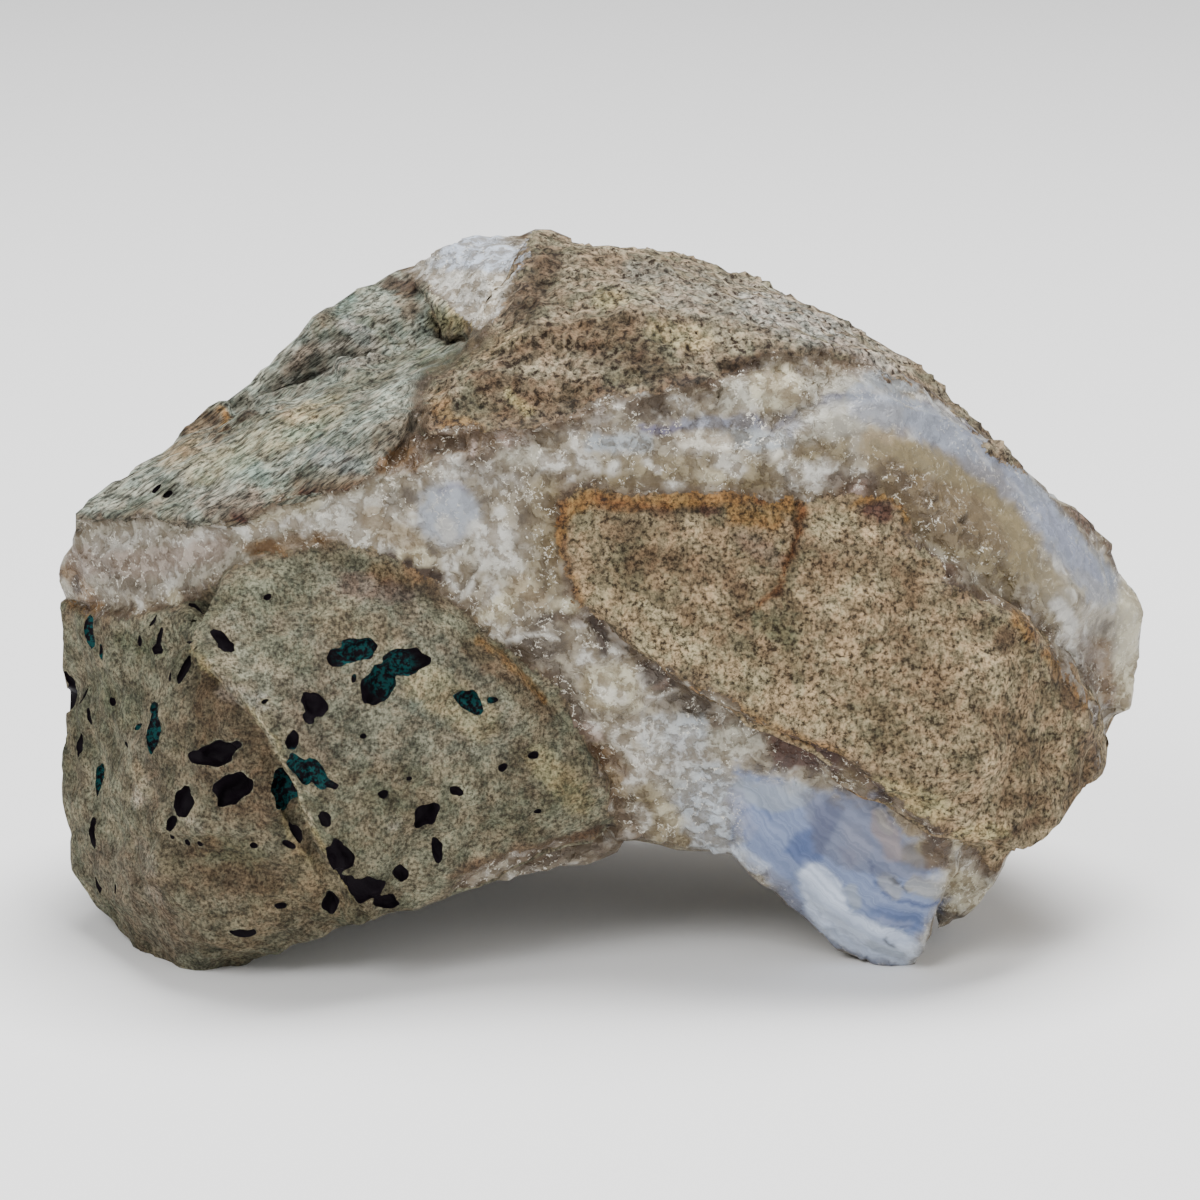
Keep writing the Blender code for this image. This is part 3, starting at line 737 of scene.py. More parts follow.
END_SIDES = (100.0, 200.0)
END_SLOPES = (-0.4, 0.2)
END_LENGTHS = (2.0, 5.0)
END_WIDTHS = (0.45, 0.8)
END_SEED = 7
print(len(BUBBLES), "bubbles on the front and", END_BUBBLES, "at the left-hand end")

# %% [markdown]
# Each cutter starts as an icosphere, because its faces are spread evenly, and is stretched and made lumpy.
# Its place is where the eye's ray meets the surface. Some bubbles are made of a few lobes that overlap, and
# a voxel remesh fuses those into one skin. Decimate then takes out the faces that it doesn't need.

# %% Cutters
DEEP = 0.9
WIDER = 1.35
BUBBLE_LUMPS = 0.36
LUMPS_ACROSS = 1.6
FINE_FROM = 1.6
FUSE_CELL = 0.17
FUSE_KEEP = 0.2
FAR = 100


def bubble(place, outward, along, length, width):
    """One lumpy hollow, centred on the surface."""
    side = outward.cross(along).normalized()
    along = side.cross(outward).normalized()
    reach = WIDER / 2
    axes = Matrix((along * length * reach, side * width * reach, outward * width * DEEP)).transposed()
    bpy.ops.object.select_all(action="DESELECT")
    bpy.ops.mesh.primitive_ico_sphere_add(subdivisions=3 if length > FINE_FROM else 2, radius=1)
    made = bpy.context.object
    for vertex in made.data.vertices:
        stretch = 1 + BUBBLE_LUMPS * noise.noise(vertex.co * LUMPS_ACROSS + place)
        vertex.co = (place + axes @ vertex.co * stretch) * MM
    return made


def joined(objects, name):
    """Joins some objects into the first of them, under a new name."""
    bpy.ops.object.select_all(action="DESELECT")
    for obj in objects:
        obj.select_set(True)
    bpy.context.view_layer.objects.active = objects[0]
    bpy.ops.object.join()
    objects[0].name = objects[0].data.name = name
    return objects[0]


surface = BVHTree.FromPolygons(
    [vertex.co / MM for vertex in stone.data.vertices], [face.vertices for face in stone.data.polygons])
hollows = []
for across, up, length, width, slant in BUBBLES:
    place, outward, _, _ = surface.ray_cast(EYE, eye_ray(across, up))
    slant = math.radians(slant)
    hollows.append(bubble(place, outward, Vector((math.cos(slant), 0, math.sin(slant))), length, width))
chance = random.Random(END_SEED)
for _ in range(END_BUBBLES):
    inside = END_LINE + Vector((0, 0, chance.uniform(*END_HEIGHTS)))
    side = math.radians(chance.uniform(*END_SIDES))
    outwards = Vector((math.cos(side), math.sin(side), chance.uniform(*END_SLOPES)))
    place, outward, _, _ = surface.ray_cast(inside + outwards * FAR, -outwards)
    along = Vector((chance.uniform(-1, 1), chance.uniform(-1, 1), chance.uniform(-1, 1)))
    length = chance.uniform(*END_LENGTHS)
    hollows.append(bubble(place, outward, along, length, length * chance.uniform(*END_WIDTHS)))
cutter = joined(hollows, "bubbles")
modified(cutter, "REMESH", mode="VOXEL", voxel_size=FUSE_CELL * MM)
modified(cutter, "DECIMATE", ratio=FUSE_KEEP)
print(len(hollows), "cutters fused into one of", len(cutter.data.polygons), "faces")

# %% [markdown]
# A Boolean takes the cutter out of the stone, which leaves hollows with sharp rims. The cutter has a
# material of its own, and the Boolean passes it on to the walls of the hollows, so they can have a finish
# of their own.

# %% Hollows cut
host_rock = bpy.data.materials.new("host_rock")
agate = bpy.data.materials.new("agate")
bubble_lining = bpy.data.materials.new("bubble_lining")
cutter.data.materials.clear()
cutter.data.materials.append(bubble_lining)
stone.data.materials.clear()
stone.data.materials.append(host_rock)
stone.data.materials.append(agate)
modified(stone, "BOOLEAN", operation="DIFFERENCE", object=cutter, solver="MANIFOLD", material_mode="TRANSFER")
bpy.data.objects.remove(cutter)
print("bubbles cut; the stone has the materials", [material.name for material in stone.data.materials])

# %% [markdown]
# The stone stands on two spots where it has worn flat. Bisect in edit mode cuts them in the resting plane,
# clears what is below it and fills the cuts. It spares what is less than a tenth of a millimetre below, so
# those corners are then lifted to the plane.

# %% The flats it rests on
SHARP_FROM = 60
only(stone)
bpy.ops.object.mode_set(mode="EDIT")
bpy.ops.mesh.select_all(action="SELECT")
bpy.ops.mesh.bisect(plane_co=(0, 0, 0), plane_no=(0, 0, 1), clear_inner=True, use_fill=True)
bpy.ops.mesh.select_all(action="SELECT")
bpy.ops.mesh.quads_convert_to_tris()
bpy.ops.object.mode_set(mode="OBJECT")
points = read(stone.data, "co")
points[:, 2] = np.maximum(points[:, 2], 0)
move(stone.data, points)
bpy.ops.object.shade_smooth_by_angle(angle=math.radians(SHARP_FROM))
print("the stone has", len(stone.data.polygons), "triangles")

# %% [markdown]
# The colours come next. Every stain, cloud and streak, and every painted shadow and highlight, is painted
# with one of a few dozen pigments, which are listed here. They are made darker than they should look, because
# the lamps are bright. Each face of rock also has a tint of its own, which is its colour before anything is
# painted on it.

# %% Pigments
DARKER = 0.62


def pigment(red, green, blue):
    """A colour given as it should look on a screen, from 0 to 255, as the linear light of shaders."""
    return np.array([((part / 255 + 0.055) / 1.055) ** 2.4 for part in (red, green, blue)]) * DARKER


PIGMENTS = {
    "milk": pigment(212, 210, 202),
    "sugar": pigment(228, 222, 206),
    "cream": pigment(204, 196, 168),
    "haze": pigment(178, 174, 158),
    "silver": pigment(176, 178, 178),
    "blush": pigment(184, 164, 154),
    "tan": pigment(160, 142, 110),
    "straw": pigment(178, 164, 116),
    "sand": pigment(170, 154, 120),
    "pale": pigment(196, 186, 164),
    "olive": pigment(136, 122, 90),
    "moss": pigment(96, 100, 74),
    "taupe": pigment(122, 108, 90),
    "mauve": pigment(120, 98, 84),
    "amber": pigment(122, 94, 62),
    "umber": pigment(96, 76, 56),
    "smoke": pigment(98, 88, 76),
    "bark": pigment(66, 50, 38),
    "maroon": pigment(74, 44, 38),
    "ochre": pigment(132, 98, 54),
    "rust": pigment(102, 66, 38),
    "ink": pigment(36, 30, 28),
    "knob": pigment(170, 176, 184),
    "ice": pigment(168, 176, 182),
    "frost": pigment(226, 236, 250),
    "lavender": pigment(162, 168, 190),
    "periwinkle": pigment(134, 150, 184),
    "deep": pigment(98, 116, 158),
    "indigo": pigment(80, 96, 140),
    "violet": pigment(108, 104, 130),
    "deepgrey": pigment(104, 102, 112),
    "slate": pigment(136, 140, 156),
    "dusk": pigment(104, 108, 108),
    "stonegrey": pigment(146, 142, 130),
    "teal": pigment(96, 124, 112),
}
ROCK_TINTS = {
    "left": pigment(126, 122, 100),
    "slab": pigment(136, 140, 126),
    "crown": pigment(136, 124, 102),
    "right": pigment(152, 134, 104),
    "strip": pigment(128, 112, 102),
}
AGATE_TINT = pigment(160, 151, 132)
print(len(PIGMENTS), "pigments, and tints for", len(ROCK_TINTS), "faces of rock")

# %% [markdown]
# Where the eye sees the front, each stain, cloud and streak is a mark: a pigment, its strength, a half width,
# and the places that it runs through. A mark with no half width is a patch, and its places go round it. These
# lie on the agate: milky clouds, clear and smoky places, rust that came in with the water, the bluish round
# knob, the blue band at the upper right, and painted shade over a dark stain under the lower edge of the
# right-hand block.

# %% Marks on the agate
PEAK_ONE = [(-22, 91.5), (-17.5, 96), (-13, 95.5), (-9.5, 91.2), (-13, 90.6)]
PEAK_TWO = [(-11, 91.8), (-6.5, 98), (-1, 97), (-5, 91.8), (-8, 91.5)]
AGATE_MARKS = [
    ("haze", 0.9, 0, (-70.2, 58.2), (-45.5, 58.2), (-35.1, 60.8), (-26, 64.7), (-26, 53), (-39, 55),
     (-48.1, 51.7), (-57.2, 48.5), (-70.2, 47.8)),
    ("blush", 0.6, 1.95, (-67.6, 52.8), (-58.5, 52.4), (-50.1, 55)),
    ("ochre", 0.8, 1.04, (-69.4, 51.7), (-67.6, 49.8), (-65.7, 47.1)),
    ("bark", 0.9, 0.65, (-68.4, 50.4), (-67.9, 49.1)),
    ("bark", 0.9, 0.52, (-66.4, 46.5)),
    ("smoke", 0.6, 1.04, (-65, 53), (-62.4, 49.8), (-58.5, 49.1)),
    ("milk", 0.7, 1.04, (-65.3, 55), (-61.4, 55.5), (-58.5, 56.2)),
    ("milk", 0.8, 0.65, (-55.9, 55), (-50.1, 56.6), (-46.8, 57.2)),
    ("milk", 0.7, 0.78, (-56.2, 49.1), (-55.4, 51.1)),
    ("cream", 0.9, 0.65, (-55.6, 48.4), (-55.2, 47.3)),
    ("milk", 0.8, 0.91, (-45.5, 56.7), (-40, 58.5)),
    ("amber", 0.7, 0.91, (-43.9, 54.6), (-39, 55.5), (-35.1, 56.3)),
    ("ochre", 0.7, 0.78, (-46.1, 54.6), (-42.9, 55), (-41.1, 53.8)),
    ("ochre", 0.6, 0.65, (-36.8, 55.4), (-33.4, 55.6)),
    ("milk", 0.9, 0.91, (-40.3, 58.5), (-38, 56.9)),
    ("cream", 0.7, 0.65, (-44.9, 57.7), (-40.3, 59.3), (-36.4, 60.5)),
    ("umber", 0.8, 1.69, (-29.6, 67.6), (-26, 67.6), (-22.8, 68.6)),
    ("amber", 0.9, 1.3, (-28.3, 65.3), (-25.7, 66.3), (-24.2, 65.8)),
    ("umber", 0.8, 0, (-22.5, 69.7), (-12.7, 69.9), (-8.5, 69.2), (-9.1, 67.1), (-13, 66.6),
     (-15.6, 64.7), (-22.1, 65.4)),
    ("milk", 0.5, 0, (-35.8, 60.8), (-28.6, 61.9), (-26, 59.5), (-26.7, 53), (-33.8, 55), (-37.7, 58.2)),
    ("tan", 0.7, 1.56, (-29.6, 58.2), (-26, 56.3), (-24.4, 55)),
    ("bark", 0.9, 0, (-27.9, 54.1), (-22.1, 53.6), (-20, 50.2), (-22.1, 49.9), (-26, 51.5),
     (-28.6, 52.4)),
    ("cream", 0.9, 0.52, (-26, 53.7), (-24.2, 54.1)),
    ("cream", 0.9, 0.78, (-23.7, 53.7), (-22.1, 52.8)),
    ("mauve", 0.7, 0.91, (-33.1, 49.4), (-26, 50.2), (-22.8, 47.8)),
    ("smoke", 0.5, 1.3, (-26.9, 60.8), (-24.1, 61.1)),
    ("milk", 0.8, 1.3, (-19.9, 64.4), (-19.2, 65.3)),
    ("blush", 0.8, 0.26, (-16.2, 68.6), (-16.6, 66.3)),
    ("blush", 0.8, 0.39, (-12.7, 69), (-11.7, 67.6)),
    ("smoke", 0.4, 1.56, (-16.9, 64.7), (-11.7, 63.4)),
    ("knob", 0.95, 4.03, (-19.6, 59.1)),
    ("violet", 0.5, 0.39, (-20.5, 62.3), (-18.9, 62.9), (-17.2, 62.1)),
    ("milk", 0.8, 1.04, (-20.2, 57.7), (-19.5, 56.3)),
    ("milk", 0.4, 0.39, (-22.1, 59.8), (-20.8, 60.8)),
    ("milk", 0.95, 1.69, (-15.9, 56.7), (-13.8, 55.9)),
    ("haze", 0.7, 1.56, (-12.3, 54.6), (-10.7, 53)),
    ("haze", 0.7, 1.3, (-16.6, 54.1), (-11.7, 50.4)),
    ("milk", 0.8, 0.26, (-19.5, 50.4), (-17.9, 48.1), (-16.9, 49.8)),
    ("milk", 0.8, 0.26, (-18.9, 47.3), (-16.9, 48.9), (-16.1, 50.7)),
    ("cream", 0.95, 0, (-17.4, 44.5), (-15.3, 46.4), (-11.2, 50.1), (-8.8, 51.1), (-8.3, 49.1),
     (-10.4, 47.8), (-12.3, 45), (-13, 42.4), (-15.1, 43.4)),
    ("milk", 0.7, 0.91, (-14.8, 44.2), (-13.3, 43.4)),
    ("tan", 0.7, 1.3, (-10.9, 49.9), (-7.8, 47.8)),
    ("cream", 0.9, 1.04, (-5.6, 47.1), (-3.6, 46.5)),
    ("smoke", 0.85, 0, (-12, 42.6), (-9.1, 43.2), (-5.7, 42.5), (-5.5, 39.8), (-7.8, 39), (-11.1, 40)),
    ("milk", 0.95, 0.26, (-12.2, 42.5), (-10.1, 43.2), (-7.8, 43.3), (-5.2, 42.6)),
    ("bark", 0.85, 0.78, (-7.7, 45.2), (-6.1, 45.5)),
    ("bark", 0.95, 1.04, (-0.4, 45), (0.4, 41.6)),
    ("umber", 0.8, 0.65, (-5.2, 45.5), (-2, 45.2)),
    ("haze", 0.7, 1.04, (-8.5, 66.7), (-12.3, 66.6)),
    ("milk", 0.9, 1.04, (-7, 65.5), (-5.2, 65.9)),
    ("milk", 0.7, 0.65, (-4, 69.9), (-3.4, 69.7)),
    ("milk", 0.85, 0.78, (-2.6, 66.7), (-0.8, 65)),
    ("milk", 0.6, 0.52, (0, 68.6), (2.6, 68)),
    ("ice", 0.85, 1.17, (-0.8, 68.1), (5.9, 68.2)),
    ("umber", 0.7, 0.91, (-5.2, 63.7), (-6.1, 60.8), (-6.5, 53)),
    ("olive", 0.7, 0, (-9.1, 63.4), (-5.2, 64.1), (-5.2, 47.8), (-8.5, 49.8), (-9.8, 53)),
    ("umber", 0.6, 0.78, (-4.4, 61.5), (-5.2, 58.2)),
    ("smoke", 0.9, 1.82, (5.2, 73.2), (7.8, 72.8)),
    ("umber", 0.6, 1.56, (-15.6, 70.6), (-5.2, 71.2), (0.3, 70.6)),
    ("milk", 0.8, 0.26, (5.2, 74.9), (6.5, 74.4)),
    ("milk", 0.8, 0.26, (7.2, 72.3), (8.3, 71.2)),
    ("violet", 0.9, 0.52, (5.5, 70.1), (7.9, 69.9), (10.5, 70.2)),
    ("slate", 0.85, 0.91, (11.2, 70.6), (16.9, 71), (20.8, 70.7)),
    ("deepgrey", 0.7, 0.39, (18.2, 72), (20.3, 71.4), (22.5, 69.8)),
    ("ice", 0.8, 1.17, (15.9, 68.6), (20.8, 68.5), (24.2, 68.6)),
    ("sugar", 0.95, 1.17, (10.9, 68.6), (13, 68.5), (16.2, 68.2)),
    ("milk", 0.8, 0.91, (9.4, 73.6), (11.4, 73.1)),
    ("haze", 0.8, 0, (15.1, 76.3), (19.5, 76.7), (19.8, 72.8), (15.6, 72.5)),
    ("cream", 0.85, 0, (19.8, 77.7), (24.7, 78.3), (26.4, 75.8), (25.7, 72.8), (21.6, 72.3),
     (19.8, 73.8)),
    ("tan", 0.5, 1.04, (22.1, 75.8), (24.1, 75.1)),
    ("bark", 0.8, 1.04, (16.4, 78), (18.5, 78.5), (20.5, 78.5)),
    ("umber", 0.8, 0.78, (13, 76.4), (15, 75.8)),
    ("haze", 0.8, 1.3, (27.6, 75.8), (32.5, 75.4)),
    ("deepgrey", 0.85, 0.39, (22.5, 69.8), (26.1, 72.5), (30, 74.2), (32.9, 74.6)),
    ("slate", 0.6, 0.78, (24.7, 69.7), (27.6, 72.3), (30.9, 73.6)),
    ("ice", 0.7, 1.17, (35.4, 76.4), (40.3, 75.8)),
    ("ice", 0.9, 1.95, (33.8, 73.8), (41.7, 71.5), (49.5, 66.7), (56.4, 60.8), (61.5, 54.3),
     (65.3, 49.9)),
    ("lavender", 0.6, 1.3, (57.2, 59.5), (61.1, 55), (64, 50.8)),
    ("slate", 0.5, 0.78, (42.2, 73.8), (46.8, 71.2), (50.7, 67.1), (54.6, 62.1)),
    ("milk", 0.95, 0.26, (32.9, 74.8), (36.8, 74.8)),
    ("milk", 0.9, 0.26, (41, 74.5), (44.2, 73.3), (46.9, 71.5)),
    ("milk", 0.95, 0.26, (48.2, 68.5), (49.9, 66.3), (51.5, 64.1)),
    ("milk", 0.9, 0.26, (53.3, 63.4), (55.1, 60.8), (57.2, 58.2)),
    ("haze", 0.75, 0, (26, 73.2), (32.5, 73.6), (39.6, 73.2), (39, 68.6), (33.8, 69.7), (26, 67.9)),
    ("milk", 0.4, 0.52, (26, 69.9), (27.9, 71.2)),
    ("olive", 0.85, 0, (26, 68), (32.5, 68.6), (32.5, 65.5), (26, 65.3)),
    ("tan", 0.9, 0, (33.5, 69.9), (39.8, 70.2), (40.6, 67.3), (37.1, 64.7), (34.5, 65.3)),
    ("olive", 0.95, 0, (36.4, 68), (41, 68.6), (52, 64.7), (57.2, 55.6), (53.3, 47.8), (46.8, 53),
     (41.6, 55.6), (37.7, 60.8)),
    ("olive", 0.7, 2.6, (54.6, 53), (59.8, 46.5)),
    ("umber", 0.5, 1.3, (39.6, 63.4), (42.9, 59.5), (44.2, 55.6)),
    ("milk", 0.8, 0, (25.5, 65.5), (29.6, 66), (32.2, 64.7), (31.2, 62.5), (26.7, 62.7)),
    ("umber", 0.85, 0, (29.1, 64), (31.9, 64.5), (36.4, 64.5), (37.2, 60.8), (33.8, 60.8), (30.6, 61.4)),
    ("blush", 0.9, 0.91, (31.6, 59.8), (32.8, 61.1), (33.8, 62.1)),
    ("milk", 0.9, 0.39, (24.6, 64.4), (25.7, 62.4), (26.8, 60.6)),
    ("ink", 0.7, 0.26, (23.9, 64.7), (25.1, 62.7)),
    ("milk", 0.6, 0.39, (26.8, 62.9), (27.6, 61.9)),
    ("tan", 0.7, 2.34, (47.6, 59.5)),
    ("bark", 0.9, 0.65, (47.6, 58.2)),
    ("bark", 0.9, 0.39, (47.2, 56.7)),
    ("cream", 0.7, 0.65, (46.8, 54.6)),
    ("haze", 0.7, 0.91, (43.6, 54.6), (44.9, 53.6)),
    ("bark", 0.7, 0.52, (45.5, 51.1), (46.5, 49.1)),
    ("mauve", 0.6, 1.3, (42.2, 52.9), (44.5, 51.7)),
    ("milk", 0.7, 0.26, (42.2, 62.1), (43.6, 63.7)),
    ("milk", 0.6, 0.26, (44.9, 60.2), (43.6, 58.5)),
    ("sugar", 0.95, 0.39, (23.4, 67.1), (22.8, 66.3)),
    ("milk", 0.8, 1.04, (59.4, 47.3), (61.1, 44.6)),
    ("milk", 0.7, 0.91, (61.4, 41.3), (62.5, 38.7)),
    ("amber", 0.7, 1.82, (65, 41.1), (66.6, 35.9)),
    ("umber", 0.7, 1.04, (63.1, 42.6), (63.7, 37.4)),
    ("cream", 0.8, 1.69, (68.9, 49.1), (69.7, 45), (68.4, 39.8), (68.8, 34.6)),
    ("haze", 0.8, 1.3, (62.4, 50.4), (66.3, 47.8)),
    ("olive", 0.8, 0, (0.5, 66.3), (15.3, 66.7), (20.8, 65.8), (24.7, 63.4), (23.4, 61.9), (13, 62.7),
     (2.6, 62.1), (0, 63.7)),
    ("milk", 0.8, 0.65, (2, 65.4), (1.6, 64.7)),
    ("milk", 0.8, 0.52, (6.2, 65.8), (7.3, 64.7)),
    ("milk", 0.7, 1.04, (15.6, 65.8), (17.9, 64.7)),
    ("milk", 0.8, 0.52, (8.3, 62.7), (10.7, 62.5)),
    ("cream", 0.6, 0.78, (13, 64.1), (15.6, 63.7)),
    ("cream", 0.9, 0, (-1, 39), (4.2, 39.5), (5.2, 36.1), (4.7, 33.8), (0, 33.3), (-2.6, 34.8),
     (-3.6, 36.9)),
    ("milk", 0.5, 1.04, (0, 36.1), (2.9, 34.8)),
    ("bark", 0.85, 0, (4.7, 39.8), (7.8, 39.5), (10.4, 36.7), (7.8, 36.1), (5.2, 37.4)),
    ("milk", 0.95, 0.39, (5.2, 39)),
    ("blush", 0.7, 0.26, (7.2, 36.1), (8.3, 37.4)),
    ("smoke", 0.95, 0, (8.8, 35.6), (13, 36.1), (14.8, 34.3), (14, 32.8), (10.4, 33)),
    ("milk", 0.9, 0.26, (6.5, 34.8), (8.5, 35.4), (9.9, 36.4)),
    ("ice", 0.85, 0, (5.5, 32.8), (13, 32.8), (14.6, 30.3), (13, 26.5), (7.8, 26.5), (5.2, 29)),
    ("milk", 0.7, 1.04, (6.5, 31.2), (7.8, 29)),
    ("slate", 0.5, 0.65, (9.9, 30.3), (10.9, 28.1)),
    ("umber", 0.7, 0.78, (14.6, 32.5), (15.9, 29.9)),
    ("haze", 0.85, 0, (13.8, 30.7), (18.2, 31.7), (21.1, 29.6), (20.5, 27.6), (16.9, 27), (14, 27.6)),
    ("smoke", 0.8, 1.56, (-4.5, 36.1), (-3.2, 32.9)),
    ("blush", 0.6, 1.04, (-3.8, 31.2), (-1, 30.2)),
    ("umber", 0.6, 1.04, (-6.8, 36.1), (-3.2, 30.9), (-0.5, 27)),
    ("amber", 0.7, 1.3, (0, 28.1), (2.6, 25.1)),
    ("milk", 0.6, 0.65, (1.6, 30.3), (3.6, 28.3)),
    ("tan", 0.6, 0.78, (1.3, 25.7), (3.2, 21.8)),
    ("umber", 0.9, 0, (21.6, 31.2), (31.5, 30.7), (31.9, 27.6), (28.9, 28.1), (27.6, 25), (24.7, 25.7),
     (21.8, 27.6)),
    ("bark", 0.9, 0.52, (29.4, 28.1), (31.5, 27.6)),
    ("bark", 0.7, 0.78, (22.8, 26.8), (24.1, 25.5)),
    ("umber", 0.8, 0, (29.1, 27.6), (35.4, 28.1), (35.9, 21.8), (33.8, 21.1), (30.7, 22.4)),
    ("olive", 0.6, 1.3, (31.9, 24.4), (33.5, 22.9)),
    ("bark", 0.98, 0.78, (36.4, 22.9), (37.4, 21.6)),
    ("cream", 0.6, 0.39, (28.6, 27), (29.4, 25.1)),
    ("silver", 0.9, 3.9, (11.7, 24.4), (15, 21.8), (15.9, 16.9)),
    ("haze", 0.8, 1.3, (7.2, 23.1), (11.7, 24.2)),
    ("olive", 0.8, 2.08, (6.5, 21.8), (8.6, 17.9), (11.7, 16)),
    ("milk", 0.7, 0.78, (5.2, 20.3), (6, 19)),
    ("umber", 0.7, 0.65, (0.8, 24.1), (3.6, 19.8), (5.9, 15.3)),
    ("cream", 0.6, 1.04, (8.2, 20.3), (10.4, 19.2)),
    ("milk", 0.85, 0, (-25, 91.5), (-10.5, 92), (-13, 85), (-16, 83), (-20, 86.5)),
    ("sugar", 0.8, 0.8, (-15.5, 84.5), (-13.5, 88), (-11.8, 91)),
    ("ice", 0.9, 0, *PEAK_ONE),
    ("lavender", 0.6, 1.3, (-19, 94), (-15, 95)),
    ("ice", 0.9, 0, *PEAK_TWO),
    ("lavender", 0.5, 1.2, (-8, 94), (-4, 94.5)),
    ("periwinkle", 0.45, 0, *PEAK_ONE),
    ("periwinkle", 0.45, 0, *PEAK_TWO),
    ("frost", 0.65, 0, *PEAK_ONE),
    ("frost", 0.65, 0, *PEAK_TWO),
    ("ice", 0.6, 3.2, (13, 23.5), (14.5, 18)),
    ("frost", 0.25, 3.0, (13.5, 22), (14.5, 18)),
    ("milk", 0.4, 3.2, (8, 29.5), (11, 28)),
    ("cream", 0.5, 1.8, (69, 47), (69, 38)),
    ("slate", 0.6, 2.2, (34.5, 73.2), (41.7, 71), (49.5, 66.2), (56.4, 60.2), (61.5, 53.8), (65.3, 49.4)),
    # Painted shade, over a dark stain, under the overhanging lower edge of the right-hand block.
    ("maroon", 0.7, 0, (22, 30.5), (31, 28.8), (31, 25.3), (23, 26)),
    ("umber", 0.4, 1.5, (-28, 65.5), (-24.5, 65.5)),
    ("taupe", 0.25, 0, (-70.2, 58.2), (-47, 57.6), (-47, 50), (-57, 48.5), (-70.2, 47.8)),
    ("umber", 0.45, 1.4, (-10.5, 13.6), (1, 15.6)),
    ("milk", 0.7, 0, (-16.5, 57.2), (-11, 57.2), (-11, 51.8), (-15.6, 51.8)),
    ("olive", 0.8, 0, (34, 68.5), (42, 67.5), (54, 60), (57, 50), (44, 54), (37, 61)),
    ("umber", 0.55, 0, (36, 67), (50, 61), (54, 54), (44, 55), (37, 61)),
    ("umber", 0.35, 0, (3, 74.6), (9, 74.6), (9, 71), (3, 71)),
]
print(len(AGATE_MARKS), "marks on the agate")
